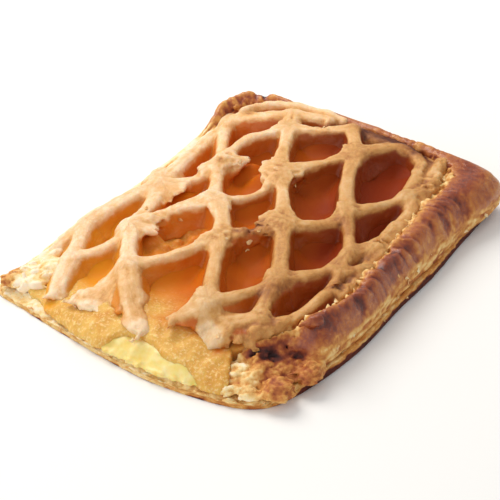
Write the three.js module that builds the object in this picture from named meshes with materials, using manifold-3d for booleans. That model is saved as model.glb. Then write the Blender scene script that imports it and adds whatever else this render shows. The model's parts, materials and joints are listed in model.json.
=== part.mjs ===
// Lattice-topped apple pie in puff pastry, torn open along its front edge.
// Millimetres, +Z up. +X runs to the thick glazed rim, +Y to the back, and the tear faces -Y.
// A thin bottom sheet carries a raised border on three sides, a layer of custard, the apple
// filling and a crust of dough slit into a staggered lattice.

import * as THREE from "three";
import { mergeVertices } from "three/addons/utils/BufferGeometryUtils.js";
import Module from "manifold-3d";

const wasm = await Module();
wasm.setup();

// Driving dimensions

const clearance = 0.35; // gap kept between touching pieces
const sheetThickness = 3.2; // bottom sheet
const sheetLipRise = 0.8; // how much thicker the sheet is where the tear lays it bare
const layerRelief = 0.45; // depth of the grooves between baked layers
const sliver = 0.3; // joins leave no facets narrower than this
const strandWidth = 6.2;
const strandWaist = 0.14; // share of its width that a strand loses half way
const strandDepth = 6;
const tipDepth = 3.8; // strand depth where torn ends hang over the filling
const thinnestFilling = 2.4; // under the lattice, along the left border
const openingLeft = -42; // the border's inner edges, where the lattice starts
const openingRight = { front: 44, back: 33.5 };
const latticeLeft = { front: 8.6, back: 11.2 }; // height of the lattice along the left border
const latticeRight = 13.4; // and along the right border
const crownRise = 6; // extra height of the dome half way across
const tearFoot = { x: 8, y: -67.2, bend: 0.0045 }; // foot of the torn face, a shallow curve
const tearReach = 23; // how far back the filling has slumped behind the tear
const tearRoughness = 1.3; // how ragged the border's two torn ends are
const custardCentre = { x: 8, y: -12 };
const custardHalfSize = { x: 19.5, y: 80 };
const custardDepth = 5.2;
const custardBack = 52; // the custard stops short of the back border
const diceHeight = 0.9; // diced apple swells up this far between the strands

// Bottom sheet's plan, counter-clockwise from the left tip of the torn front
const sheetOutline = [
  [-51.4, -58],
  [-38, -62.4],
  [-20, -66],
  [0, -69.4],
  [14, -70.5],
  [28, -69.6],
  [40, -67],
  [46.8, -61.4],
  [50.4, -50],
  [52.2, -36],
  [52.6, -22],
  [51.2, -3],
  [50.6, 18],
  [48.8, 36],
  [47.4, 52],
  [46.6, 60.6],
  [42, 64.8],
  [28, 65.4],
  [0, 65.6],
  [-32, 65.4],
  [-43.5, 63.6],
  [-48.6, 57],
  [-49.8, 34],
  [-50, -12],
  [-50.8, -40],
];

// Sections of the border, from its torn end at the front right, round the back, to the left tip:
// outer and inner edge in plan, heights of the outer shoulder, the crest and the inner edge,
// and how far across the crest stands
const borderSections = [
  { outer: [42, -64.2], inner: [29, -54.5], shoulder: 6, crest: 14.2, edge: 12.6, at: 0.84 },
  { outer: [47.6, -56], inner: [35, -48.5], shoulder: 6.4, crest: 15.6, edge: 13.6, at: 0.8 },
  { outer: [50.6, -46], inner: [40, -40], shoulder: 6.8, crest: 16.2, edge: 14, at: 0.74 },
  { outer: [51.6, -33], inner: [43.4, -30], shoulder: 7.8, crest: 15.8, edge: 14, at: 0.62 },
  { outer: [51.6, -18], inner: [43.2, -18], shoulder: 8, crest: 15.2, edge: 13.6, at: 0.56 },
  { outer: [50.3, 0], inner: [40.8, 0], shoulder: 8, crest: 15, edge: 13.5, at: 0.55 },
  { outer: [49.7, 19], inner: [38, 18], shoulder: 8, crest: 14.8, edge: 13.4, at: 0.55 },
  { outer: [48.8, 38], inner: [35.6, 36], shoulder: 8.6, crest: 14.8, edge: 13.4, at: 0.52 },
  { outer: [49.8, 55], inner: [33.6, 51], shoulder: 10, crest: 14.8, edge: 13.8, at: 0.42 },
  { outer: [46.6, 65.4], inner: [29, 57.5], shoulder: 10.6, crest: 15, edge: 14, at: 0.36 },
  { outer: [30, 65.6], inner: [19, 59.6], shoulder: 11.4, crest: 15.6, edge: 14.4, at: 0.36 },
  { outer: [12, 66], inner: [7, 60.4], shoulder: 12, crest: 16, edge: 15, at: 0.38 },
  { outer: [-8, 66.2], inner: [-9, 60.6], shoulder: 12.4, crest: 16.4, edge: 15.2, at: 0.4 },
  { outer: [-26, 66], inner: [-25, 60.6], shoulder: 12.4, crest: 16.4, edge: 14.4, at: 0.4 },
  { outer: [-43, 65], inner: [-38, 58.4], shoulder: 12.4, crest: 16.8, edge: 13.6, at: 0.4 },
  { outer: [-50.6, 55], inner: [-43.4, 50], shoulder: 11.6, crest: 15.8, edge: 12.4, at: 0.42 },
  { outer: [-49.4, 42], inner: [-42.4, 38], shoulder: 8, crest: 11.4, edge: 10.2, at: 0.55 },
  { outer: [-49, 19], inner: [-42, 18], shoulder: 6, crest: 9.4, edge: 8.8, at: 0.6 },
  { outer: [-49, -6], inner: [-42, -6], shoulder: 5.6, crest: 8.8, edge: 8.2, at: 0.6 },
  { outer: [-49.6, -31], inner: [-42.4, -30], shoulder: 5.4, crest: 8.2, edge: 7.6, at: 0.6 },
  { outer: [-50, -56], inner: [-41, -52], shoulder: 4.8, crest: 7, edge: 6.2, at: 0.6 },
];

// The lattice's joints stand on a slanted grid: one step down to the right, one up to the right.
const gridOrigin = [-26.4, 20.7];
const stepDown = [12.9, -22.3];
const stepUp = [11, 20.5];

// Each joint's grid place, and how far the stretched dough has slipped off the even grid
const joints = {
  a0: [-1, 0, -4.6, 5.8],
  a1: [0, 0, 0.6, -1.7],
  a2: [1, 0, -0.3, -0.3],
  a3: [2, 0, 0.8, 5.1],
  a4: [3, 0, 4.6, -2.5],
  b0: [-1, 1, 3.1, -4.3],
  b1: [0, 1, -3.4, 5.9],
  b2: [1, 1, -2.6, 1.8],
  b3: [2, 1, 0.9, 0.7],
  b4: [3, 1, 3, -2.7],
  b5: [4, 1, -5.1, 2.9],
  c1: [0, 2, 2.5, -4.7],
  c2: [1, 2, -0.9, 4.6],
  c3: [2, 2, 2.1, -3.9],
  c4: [3, 2, 0.1, 1.4],
  c5: [4, 2, -9.7, 14.3],
  d2: [1, 3, 4.3, -5.6],
  d3: [2, 3, -0.8, -3.7],
  e2: [0, -1, 0.9, 2.4],
  e3: [1, -1, -4, -2.1],
  e4: [2, -1, -2.6, 0.5],
  f3: [0, -2, 4.2, -5.1],
  f4: [1, -2, 0.2, -0.6],
};

// Neighbours on the grid are joined by strands, except where the dough has torn
const tornPairs = ["a4 b5", "d2 d3"];

// Strands that run on into the border, or end torn over the filling
const runOuts = [
  ["a0", [-50, 52]],
  ["a0", [-44, 20]],
  ["b0", [-30, 64]],
  ["c1", [-4, 64]],
  ["c1", [9, 62]],
  ["c2", [10, 62]],
  ["d2", [27, 64]],
  ["d3", [25, 50]],
  ["d3", [44, 30]],
  ["c4", [44, 10]],
  ["c5", [44, -5]],
  ["b5", [38, -50]],
  ["e2", [-48, 14]],
  ["e2", [-46, -12]],
  ["f3", [-50, -10]],
  ["f3", [-46, -44]],
];
const tornEnds = [
  ["f4", [-28, -56]],
  ["e4", [-17, -57]],
  ["e4", [-1.5, -57]],
  ["a4", [10, -57.5]],
  ["a4", [25, -59]],
  ["b5", [28, -55]],
];

// Helpers

const mix = (a, b, t) => a + (b - a) * t;
const clamp01 = (t) => Math.min(1, Math.max(0, t));
const smooth = (t) => clamp01(t) ** 2 * (3 - 2 * clamp01(t));

// Uneven relief of baked dough, from -1 to 1, about 4 mm from bump to bump
function unevenness(x, y, z = 0) {
  return (
    0.5 * Math.sin(0.83 * x + 1.9 * z + 0.4) * Math.cos(0.71 * y - 0.6 * z) +
    0.3 * Math.sin(1.7 * x - 1.3 * y + 2.1 * z) +
    0.2 * Math.cos(2.6 * y + 1.9 * x)
  );
}

// Joins closed rings of points into one solid, with a fan of triangles over each end
function loftSolid(rings) {
  const count = rings[0].length;
  const points = rings.flat();
  const triangles = [];
  for (let r = 0; r + 1 < rings.length; r++) {
    for (let k = 0; k < count; k++) {
      const a = r * count + k;
      const b = r * count + ((k + 1) % count);
      triangles.push([a, b, b + count], [a, b + count, a + count]);
    }
  }
  for (const [ring, start, turn] of [
    [rings[0], 0, 1],
    [rings.at(-1), (rings.length - 1) * count, -1],
  ]) {
    const middle = ring.reduce((sum, p) => sum.add(p), new THREE.Vector3()).divideScalar(count);
    const centre = points.push(middle) - 1;
    for (let k = 0; k < count; k++) {
      const a = start + k;
      const b = start + ((k + 1) % count);
      triangles.push(turn > 0 ? [centre, b, a] : [centre, a, b]);
    }
  }
  return solidGeometry(points, triangles);
}

// A geometry with its faces pointing outwards
function solidGeometry(points, triangles) {
  let volume = 0;
  for (const [a, b, c] of triangles) {
    volume += points[a].dot(new THREE.Vector3().crossVectors(points[b], points[c]));
  }
  const index = triangles.flatMap(([a, b, c]) => (volume > 0 ? [a, b, c] : [a, c, b]));
  const geometry = new THREE.BufferGeometry().setFromPoints(points);
  geometry.setIndex(index);
  return geometry;
}

function toSolid(geometry) {
  const bare = geometry.clone();
  bare.deleteAttribute("normal");
  bare.deleteAttribute("uv");
  const merged = mergeVertices(bare, 1e-4);
  return new wasm.Manifold(
    new wasm.Mesh({
      numProp: 3,
      vertProperties: new Float32Array(merged.attributes.position.array),
      triVerts: new Uint32Array(merged.index.array),
    }),
  );
}

// A cut can leave loose scraps, which are dropped
function largestPart(solid) {
  return solid.decompose().reduce((a, b) => (b.volume() > a.volume() ? b : a));
}

function fromSolid(solid) {
  const mesh = solid.getMesh();
  const geometry = new THREE.BufferGeometry();
  geometry.setAttribute("position", new THREE.BufferAttribute(mesh.vertProperties, 3));
  geometry.setIndex(new THREE.BufferAttribute(mesh.triVerts, 1));
  return geometry;
}

// Heights

const bottomTop = (y) => sheetThickness + sheetLipRise * smooth((-50 - y) / 10);
const tearFootY = (x) => tearFoot.y + tearFoot.bend * (x - tearFoot.x) ** 2;

// Top of the lattice as baked, before the tear
function domeTop(x, y) {
  const right = mix(openingRight.front, openingRight.back, clamp01((y + 30) / 85));
  const left = mix(latticeLeft.front, latticeLeft.back, clamp01((y + 60) / 115));
  const across = clamp01((x - openingLeft) / (right - openingLeft));
  return mix(left, latticeRight, across) + crownRise * Math.sin(Math.PI * across);
}

// Strands are full depth over the dome and thin out where it runs down to the low left border
const depthAt = (x, y) => Math.min(strandDepth, domeTop(x, y) - sheetThickness - thinnestFilling);
const domeFloor = (x, y) => domeTop(x, y) - depthAt(x, y) - clearance;

// How far a place lies down the slumped slope behind the tear, from 0 at its top to 1 at its foot
const slump = (x, y) => clamp01((tearFootY(x) + tearReach - y) / tearReach);

function fillingTop(x, y) {
  const fall = slump(x, y);
  return mix(sheetThickness, domeFloor(x, y), Math.sqrt(1 - fall * fall));
}

// Where the slope reaches a height
function tornFaceY(x, z) {
  const share = clamp01((z - sheetThickness) / (domeFloor(x, -55) - sheetThickness));
  return tearFootY(x) + tearReach * (1 - Math.sqrt(1 - share * share));
}

// Bottom sheet: a thin slab with a layered, uneven edge and a flat underside

const outlineCurve = new THREE.CatmullRomCurve3(
  sheetOutline.map(([x, y]) => new THREE.Vector3(x, y, 0)),
  true,
  "centripetal",
);

// The sheet's outline, moved in from the edge; its first rings are ragged, deeper ones even
function insetOutline(count, inset, height) {
  return outlineCurve.getSpacedPoints(count).slice(0, count).map((p, k) => {
    const along = outlineCurve.getTangentAt(k / count);
    const ragged = 0.35 * unevenness(p.x, p.y, height(p));
    const depth = inset + (inset > 1.5 ? 0 : ragged);
    return new THREE.Vector3(p.x - along.y * depth, p.y + along.x * depth, height(p));
  });
}

function bottomSheet() {
  const samples = 80;
  const level = (share) => (p) => share * bottomTop(p.y);
  const flat = () => 0;
  const inner = (share, height) =>
    insetOutline(samples, 2, height).map((p) => {
      return new THREE.Vector3(p.x * share, p.y * share, height({ y: p.y * share }));
    });
  return loftSolid([
    inner(0.6, flat),
    insetOutline(samples, 1.6, flat),
    insetOutline(samples, 0.2, level(0.22)),
    insetOutline(samples, 0, level(0.42)),
    insetOutline(samples, 2 * layerRelief, level(0.52)),
    insetOutline(samples, layerRelief / 3, level(0.64)),
    insetOutline(samples, layerRelief, level(0.86)),
    insetOutline(samples, 2, level(1)),
    inner(0.92, level(1)),
    inner(0.8, level(1)),
  ]);
}

// Border: a section with layers down its outer wall and a glazed crest, lofted round the pie

function border() {
  const outer = [];
  const inner = [];
  const crest = [];
  for (const s of borderSections) {
    outer.push(new THREE.Vector3(...s.outer, s.shoulder));
    inner.push(new THREE.Vector3(...s.inner, s.edge));
    crest.push(new THREE.Vector3(s.crest, s.at, 0));
  }
  const [outerEdge, innerEdge, crestLine] = [outer, inner, crest].map(
    (points) => new THREE.CatmullRomCurve3(points, false, "catmullrom", 0.5),
  );
  const steps = (borderSections.length - 1) * 5;
  const rings = [];
  for (let i = 0; i <= steps; i++) {
    const o = outerEdge.getPoint(i / steps);
    const n = innerEdge.getPoint(i / steps);
    const c = crestLine.getPoint(i / steps);
    const inward = new THREE.Vector2(n.x - o.x, n.y - o.y);
    const width = inward.length();
    inward.normalize();
    const base = bottomTop(o.y - 1) + clearance;
    const section = [];
    // one point of the section: depth in from the outer edge, height, and how rough it is
    const add = (depth, height, rough) => {
      const x = o.x + inward.x * depth;
      const y = o.y + inward.y * depth;
      const bump = rough * unevenness(x, y, height);
      section.push(new THREE.Vector3(x, y, height + bump));
    };
    const wall = o.z - base;
    add(0.6, base, 0);
    for (let k = 1; k <= 4; k++) {
      const groove = k % 2 ? 0.1 : 2 * layerRelief;
      const ragged = 0.3 * unevenness(o.x, o.y, k);
      add(groove + 0.2 * k + ragged, base + (wall * k) / 4.4, 0);
    }
    add(1.2, o.z, 0.3);
    add(0.42 * c.y * width, mix(o.z, c.x, 0.66), 0.5);
    add(0.74 * c.y * width, mix(o.z, c.x, 0.93), 0.55);
    add(c.y * width, c.x, 0.4);
    add(mix(c.y, 1, 0.55) * width, mix(c.x, n.z, 0.6), 0.4);
    add(width - 0.5, n.z, 0.35);
    add(width - 0.3, n.z - 1.8, 0);
    add(width - 0.7, mix(base, n.z, 0.4), 0);
    add(width - 0.6, bottomTop(n.y) + clearance, 0);
    rings.push(section);
  }
  for (const [end, next] of [
    [rings[0], rings[1]],
    [rings.at(-1), rings.at(-2)],
  ]) {
    end.forEach((p, k) => {
      const outward = new THREE.Vector3().subVectors(p, next[k]).setZ(0).normalize();
      p.addScaledVector(outward, tearRoughness * unevenness(2 * k, 5 * k));
    });
  }
  return loftSolid(rings);
}

// Plan of the space inside the border, from its torn end round to the left tip
function openingPlan(count, inset) {
  const curve = new THREE.CatmullRomCurve3(
    borderSections.map(({ inner }) => new THREE.Vector3(...inner, 0)),
    false,
    "catmullrom",
    0.5,
  );
  return curve.getPoints(count).map((p, k) => {
    const along = curve.getTangent(k / count);
    return new THREE.Vector3(p.x - along.y * inset, p.y + along.x * inset, 0);
  });
}

// Lattice

function jointAt(name) {
  const [down, up, slipX, slipY] = joints[name];
  return new THREE.Vector2(
    gridOrigin[0] + down * stepDown[0] + up * stepUp[0] + slipX,
    gridOrigin[1] + down * stepDown[1] + up * stepUp[1] + slipY,
  );
}

function gridNeighbours() {
  const names = Object.keys(joints);
  const pairs = [];
  for (const a of names) {
    for (const b of names) {
      const down = joints[b][0] - joints[a][0];
      const up = joints[b][1] - joints[a][1];
      const neighbours = (down === 1 && up === 0) || (down === 0 && up === 1);
      if (neighbours && !tornPairs.includes(`${a} ${b}`)) {
        pairs.push([a, b]);
      }
    }
  }
  return pairs;
}

// Middle height of a strand lying on the filling; it thins where it slumps towards the tear
function strandHeight(x, y, depth) {
  return fillingTop(x, y) + clearance + depth / 2;
}

// One strand: a ribbon of dough, flat below and rounded above, between two places in plan
function strand(from, to, { bow = 0, endDepth = strandDepth, endWidth = 1 }) {
  const angles = [-160, -125, -55, -20, 30, 90, 150].map((a) => (a * Math.PI) / 180);
  const along = new THREE.Vector2().subVectors(to, from);
  const side = new THREE.Vector2(-along.y, along.x).normalize();
  const steps = Math.max(3, Math.round(along.length() / 6.5));
  const rings = [];
  for (let i = 0; i <= steps; i++) {
    const t = i / steps;
    const place = new THREE.Vector2().lerpVectors(from, to, t);
    place.addScaledVector(side, bow * Math.sin(Math.PI * t));
    const waist = 1 - strandWaist * Math.sin(Math.PI * t) ** 2;
    const width = strandWidth * waist * mix(1, endWidth, t * t);
    const depth = Math.min(depthAt(place.x, place.y), mix(strandDepth, endDepth, t));
    const height = strandHeight(place.x, place.y, depth);
    rings.push(
      angles.map((angle, k) => {
        const swell = 1 + 0.09 * unevenness(place.x + 3 * k, place.y - 2 * k);
        const out = (width / 2) * swell * Math.cos(angle);
        const low = Math.max(-1, 1.25 * Math.sin(angle));
        const rise = (depth / 2) * (angle > 0 ? swell * Math.sin(angle) : low);
        return new THREE.Vector3(place.x + side.x * out, place.y + side.y * out, height + rise);
      }),
    );
  }
  return toSolid(loftSolid(rings));
}

// The swelling where strands part
function knot(place) {
  const geometry = new THREE.SphereGeometry(1, 7, 4);
  geometry.rotateX(Math.PI / 2);
  const depth = depthAt(place.x, place.y);
  geometry.scale(0.74 * strandWidth, 0.88 * strandWidth, 0.5 * depth);
  geometry.translate(place.x, place.y, strandHeight(place.x, place.y, depth));
  return toSolid(geometry);
}

// A flake of dough that stands off the lattice where it has split
function flake(place, turn, length) {
  const along = new THREE.Vector2(Math.cos(turn), Math.sin(turn));
  const rings = [0, 0.55, 1].map((t) => {
    const x = place.x + along.x * length * t;
    const y = place.y + along.y * length * t;
    const depth = depthAt(place.x, place.y);
    const z = strandHeight(place.x, place.y, depth) + 0.36 * depth + 1.5 * t;
    const half = mix(1.7, 0.5, t);
    const thick = mix(1.4, 0.35, t);
    return [
      new THREE.Vector3(x - along.y * half, y + along.x * half, z),
      new THREE.Vector3(x + along.y * half, y - along.x * half, z),
      new THREE.Vector3(x + along.y * half, y - along.x * half, z - thick),
      new THREE.Vector3(x - along.y * half, y + along.x * half, z - thick),
    ];
  });
  return toSolid(loftSolid(rings));
}

function lattice() {
  const places = Object.fromEntries(Object.keys(joints).map((name) => [name, jointAt(name)]));
  const parts = Object.values(places).map(knot);
  gridNeighbours().forEach(([from, to], n) => {
    const bow = (n % 2 ? 1 : -1) * (0.6 + 0.5 * Math.sin(2.3 * n));
    parts.push(strand(places[from], places[to], { bow }));
  });
  for (const [from, to] of runOuts) {
    parts.push(strand(places[from], new THREE.Vector2(...to), {}));
  }
  for (const [from, to] of tornEnds) {
    const torn = { bow: 0.6, endDepth: tipDepth, endWidth: 0.62 };
    parts.push(strand(places[from], new THREE.Vector2(...to), torn));
  }
  Object.values(places).forEach((place, n) => {
    if (n % 2) {
      parts.push(flake(place, 2.4 * n, 4.6));
    }
  });
  const joined = wasm.Manifold.union(parts);
  const trimmed = joined.intersect(toSolid(openingSolid()));
  return fromSolid(largestPart(trimmed).simplify(sliver));
}

// The room inside the border, open to the front, that trims the lattice
function openingSolid() {
  const plan = openingPlan(44, clearance + 0.1);
  const front = tearFoot.y - 6;
  plan.push(new THREE.Vector3(plan.at(-1).x, front, 0), new THREE.Vector3(plan[0].x, front, 0));
  const high = 3 * crownRise + latticeRight;
  const level = (z) => plan.map((p) => new THREE.Vector3(p.x, p.y, z));
  return loftSolid([level(sheetThickness + clearance), level(high)]);
}

// Custard: a long low lens on the bottom sheet, cut through by the tear

function custardTop(x, y) {
  const u = (x - custardCentre.x) / custardHalfSize.x;
  const v = (y - custardCentre.y) / custardHalfSize.y;
  return bottomTop(y) + clearance + custardDepth * Math.sqrt(clamp01(1 - u * u - v * v));
}

// grow makes a slightly larger copy, which cuts its bed in the apple
function custardCream(grow = 0) {
  const samples = 44;
  const back = custardBack + grow;
  const foot = [];
  const brow = [];
  for (let k = 0; k < samples; k++) {
    const angle = (2 * Math.PI * k) / samples;
    const x = custardCentre.x + (custardHalfSize.x * 0.98 + grow) * Math.cos(angle);
    const y = Math.min(custardCentre.y + custardHalfSize.y * 0.98 * Math.sin(angle), back);
    const browY = tornFaceY(x, custardTop(x, tearFootY(x) + 2));
    const ragged = 0.4 * unevenness(x, 2 * x);
    foot.push(new THREE.Vector3(x, Math.max(y, tearFootY(x) + ragged - 8 * grow), 0));
    brow.push(new THREE.Vector3(x, Math.max(y, browY - 8 * grow), 0));
  }
  const middle = new THREE.Vector3(custardCentre.x, custardCentre.y, 0);
  const ring = (outline, share, height) =>
    outline.map((p) => {
      const q = new THREE.Vector3().lerpVectors(middle, p, share);
      return new THREE.Vector3(q.x, q.y, height(q));
    });
  const under = (p) => bottomTop(p.y) + clearance - 3 * grow;
  const over = (p) => Math.max(under(p) + 0.3, custardTop(p.x, p.y)) + grow;
  const half = (p) => mix(under(p), over(p), 0.55);
  const swollen = foot.map((p, k) => new THREE.Vector3().lerpVectors(p, brow[k], 0.35));
  return loftSolid([
    ring(foot, 0.5, under),
    ring(foot, 1, under),
    ring(swollen, 1, half),
    ring(brow, 0.995, over),
    ring(brow, 0.8, over),
    ring(brow, 0.55, over),
    ring(brow, 0.3, over),
  ]);
}

// Apple filling

// Depth of the gaps between pieces of diced apple, which are about 5 mm across
function appleBumps(x, y) {
  const dice = Math.sin(0.62 * x + 0.2 * y + 1) * Math.sin(0.55 * y - 0.25 * x + 0.6);
  return diceHeight * (Math.max(0, dice) ** 0.6 - 1);
}

function appleFilling() {
  const around = 46;
  const acrossFront = 22;
  const inside = openingPlan(around, clearance + 0.7);
  const start = inside.at(-1);
  const end = inside[0];
  const outline = [...inside];
  for (let k = 1; k < acrossFront; k++) {
    const x = mix(start.x + 1, end.x - 1.5, k / acrossFront);
    const straight = mix(start.y, end.y, k / acrossFront);
    const y = tearFootY(x) + 0.3 + 0.4 * unevenness(3 * x, x);
    outline.push(new THREE.Vector3(x, Math.min(y, straight - 0.5), 0));
  }
  const middle = new THREE.Vector3(-2, -4, 0);
  const under = (p) => bottomTop(p.y) + clearance + 0.1;
  const over = (p) => {
    const grain = 0.45 * slump(p.x, p.y) * unevenness(2 * p.x, 2 * p.y);
    const dice = appleBumps(p.x, p.y) * (1 - 0.6 * slump(p.x, p.y));
    return Math.max(under(p) + 0.5, fillingTop(p.x, p.y) + Math.min(0, dice + grain));
  };
  const ring = (share, height) =>
    outline.map((p) => {
      const q = new THREE.Vector3().lerpVectors(middle, p, share);
      return new THREE.Vector3(q.x, q.y, height(q));
    });
  const above = [0.995, 0.965, 0.92, 0.86, 0.78, 0.68, 0.57, 0.45, 0.32, 0.16];
  const whole = loftSolid([ring(1, under), ...above.map((share) => ring(share, over))]);
  return fromSolid(largestPart(toSolid(whole).subtract(toSolid(custardCream(clearance)))));
}

// The pie

function piece(name, geometry, colour, roughness) {
  const material = new THREE.MeshStandardMaterial({
    color: colour,
    roughness,
    metalness: 0,
    flatShading: true,
  });
  const mesh = new THREE.Mesh(geometry, material);
  mesh.name = name;
  return mesh;
}

const pie = new THREE.Group();
pie.add(
  piece("base_crust", bottomSheet(), "#c98f4e", 0.8),
  piece("rim_crust", border(), "#a85c2c", 0.4),
  piece("custard_cream", custardCream(), "#f3e08a", 0.5),
  piece("apple_filling", appleFilling(), "#d98a2a", 0.3),
  piece("lattice_crust", lattice(), "#e8c48a", 0.55),
);

// The origin is the middle of the footprint
const footprint = new THREE.Box3().setFromObject(pie);
const centre = footprint.getCenter(new THREE.Vector3());
pie.position.set(-centre.x, -centre.y, -footprint.min.z);

export default pie;
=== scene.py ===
# Lattice-topped apple pie in puff pastry, torn open along its front edge.
# Lengths are millimetres until a mesh is made. +X is the thick glazed side, -Y the torn front
# and z 0 the table. The layout is measured from the middle of the pie's flat sheet.

import functools
import json
import math

import bpy
import numpy as np
import openvdb
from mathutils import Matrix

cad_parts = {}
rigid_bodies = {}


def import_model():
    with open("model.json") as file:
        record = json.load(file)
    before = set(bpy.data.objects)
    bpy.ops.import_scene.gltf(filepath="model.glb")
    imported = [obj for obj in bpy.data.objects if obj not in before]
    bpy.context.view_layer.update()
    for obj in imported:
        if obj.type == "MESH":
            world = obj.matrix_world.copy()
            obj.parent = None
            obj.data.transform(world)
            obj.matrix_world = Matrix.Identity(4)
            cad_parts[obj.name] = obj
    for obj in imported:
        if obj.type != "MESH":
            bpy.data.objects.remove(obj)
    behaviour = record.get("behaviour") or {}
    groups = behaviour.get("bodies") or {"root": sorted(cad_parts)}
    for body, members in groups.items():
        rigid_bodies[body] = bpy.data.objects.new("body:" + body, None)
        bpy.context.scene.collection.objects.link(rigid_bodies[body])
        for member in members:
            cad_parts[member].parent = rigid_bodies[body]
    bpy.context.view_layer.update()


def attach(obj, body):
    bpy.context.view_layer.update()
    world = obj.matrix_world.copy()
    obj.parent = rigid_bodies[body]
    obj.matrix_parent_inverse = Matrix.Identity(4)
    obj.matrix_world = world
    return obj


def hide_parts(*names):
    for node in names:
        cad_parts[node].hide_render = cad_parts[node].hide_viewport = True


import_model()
print("frame loaded")

pie = {
    "shift": (-0.10, 2.22, 0.0),  # from the layout's middle to the frame's origin
    "sheetThickness": 3.2,
    "lipRise": -0.7,  # what the sheet gains in height where the tear lays it bare
    "lipRun": (-50.0, 10.0),  # that starts at this y and takes this length towards the tear
    "strandDepth": 6.0,
    "thinnestFilling": 2.4,
    "openingLeft": -42.0,
    "openingRight": (44.0, 33.5),  # front, back
    "openingRun": (-30.0, 85.0),  # it narrows from this y on, over this length
    "latticeLeft": (8.6, 11.2),  # height of the lattice at its left edge: front, back
    "latticeRun": (-60.0, 115.0),  # it rises from this y on, over this length
    "latticeRight": 13.4,
    "clearance": 0.35,  # gap that the solids leave under the strands
    "sunk": 0.3,  # how deep the other pieces stand in the sheet
    "crownRise": 6.0,  # how far the lattice bulges between its edges
    "tearFoot": (10.0, -69.6),  # foremost place of the filling's foot along the tear
    "tearBend": 0.0049,  # how fast that foot curves back to both sides
    "tearReach": 23.0,  # the filling slumps over this length behind it
    "custardFront": (-9.0, 29.0, 9.0),  # custard lies bare between these, over this run in
    "fleshBack": (3.0, 3.6, 4.0, 9.0),  # the apple stands back from it: usual, more, where, reach
}

# Arithmetic on arrays


def clamp01(t):
    return np.clip(t, 0.0, 1.0)


def smooth(t):
    t = clamp01(t)
    return t * t * (3 - 2 * t)


def mix(a, b, t):
    return a + (b - a) * t


def scramble(ix, iy, iz, seed):
    # one repeatable number from -1 to 1 for each corner of a lattice
    h = (ix * 73856093) ^ (iy * 19349663) ^ (iz * 83492791) ^ (seed * 40503 + 977)
    h = (h ^ (h >> 13)) * 1274126177
    h = h ^ (h >> 16)
    return (h & 0xFFFF) / 32767.5 - 1.0


def waves(points, size, seed=0):
    # smooth noise from -1 to 1, its bumps about size across
    q = np.asarray(points, float) / size
    base = np.floor(q).astype(np.int64)
    f = q - base
    f = f * f * (3 - 2 * f)
    total = np.zeros(len(q))
    for corner in range(8):
        dx, dy, dz = corner & 1, (corner >> 1) & 1, corner >> 2
        share = f[:, 0] if dx else 1 - f[:, 0]
        share = share * (f[:, 1] if dy else 1 - f[:, 1])
        share = share * (f[:, 2] if dz else 1 - f[:, 2])
        total += share * scramble(base[:, 0] + dx, base[:, 1] + dy, base[:, 2] + dz, seed)
    return total


def roughness(points, size, octaves=3, seed=0):
    total = 0.0
    weight = 1.0
    for k in range(octaves):
        total = total + weight * waves(points, size / 2**k, seed + 31 * k)
        weight = weight * 0.5
    return total / 1.6


def creases(points, size, octaves=2, seed=0):
    # rounded bumps with sharp valleys between them, from -1 in a valley to about 1
    total = 0.0
    weight = 1.0
    for k in range(octaves):
        total = total + weight * (2.4 * np.abs(waves(points, size / 2**k, seed + 17 * k)) - 1)
        weight = weight * 0.45
    return total


def spot(x, y, middle, reach):
    # 1 at the middle, fading to 0 at about twice the reach, which is a radius or one for each axis
    across, along = reach if isinstance(reach, tuple) else (reach, reach)
    return np.exp(-(((x - middle[0]) / across) ** 2) - ((y - middle[1]) / along) ** 2)


def curveThrough(points, count, closed=False):
    # Catmull-Rom curve through the points
    p = np.asarray(points, float)
    if closed:
        p = np.vstack([p[-1], p, p[0], p[1]])
    else:
        p = np.vstack([2 * p[0] - p[1], p, 2 * p[-1] - p[-2]])
    spans = len(p) - 3
    t = np.linspace(0, spans, count, endpoint=not closed)
    k = np.minimum(t.astype(int), spans - 1)
    f = (t - k)[:, None]
    a, b, c, d = p[k], p[k + 1], p[k + 2], p[k + 3]
    return b + 0.5 * f * (c - a + f * (2 * a - 5 * b + 4 * c - d + f * (3 * (b - c) + d - a)))


def spacedEvenly(points, count, closed=False):
    p = np.vstack([points, points[:1]]) if closed else points
    run = np.concatenate([[0], np.cumsum(np.linalg.norm(np.diff(p[:, :2], axis=0), axis=1))])
    at = np.linspace(0, run[-1], count, endpoint=not closed)
    return np.stack([np.interp(at, run, p[:, k]) for k in range(p.shape[1])], 1)


def planDistance(x, y, path):
    # distance in plan from each place to a path, and how far along it the nearest point lies
    best = np.full(x.shape, 1e9)
    along = np.zeros(x.shape)
    for k in range(len(path) - 1):
        ax, ay = path[k, 0], path[k, 1]
        bx, by = path[k + 1, 0] - ax, path[k + 1, 1] - ay
        t = np.clip(((x - ax) * bx + (y - ay) * by) / (bx * bx + by * by + 1e-12), 0, 1)
        d = np.hypot(x - ax - t * bx, y - ay - t * by)
        near = d < best
        best = np.where(near, d, best)
        along = np.where(near, k + t, along)
    return best, along / (len(path) - 1)


# Heights of the pie's layers


def bottomTop(y):
    start, run = pie["lipRun"]
    return pie["sheetThickness"] + pie["lipRise"] * smooth((start - y) / run)


def tearFootY(x):
    return pie["tearFoot"][1] + pie["tearBend"] * (x - pie["tearFoot"][0]) ** 2


def domeTop(x, y):
    (frontRight, runRight), (frontLeft, runLeft) = pie["openingRun"], pie["latticeRun"]
    right = mix(*pie["openingRight"], clamp01((y - frontRight) / runRight))
    left = mix(*pie["latticeLeft"], clamp01((y - frontLeft) / runLeft))
    across = clamp01((x - pie["openingLeft"]) / (right - pie["openingLeft"]))
    return mix(left, pie["latticeRight"], across) + pie["crownRise"] * np.sin(np.pi * across)


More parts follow.
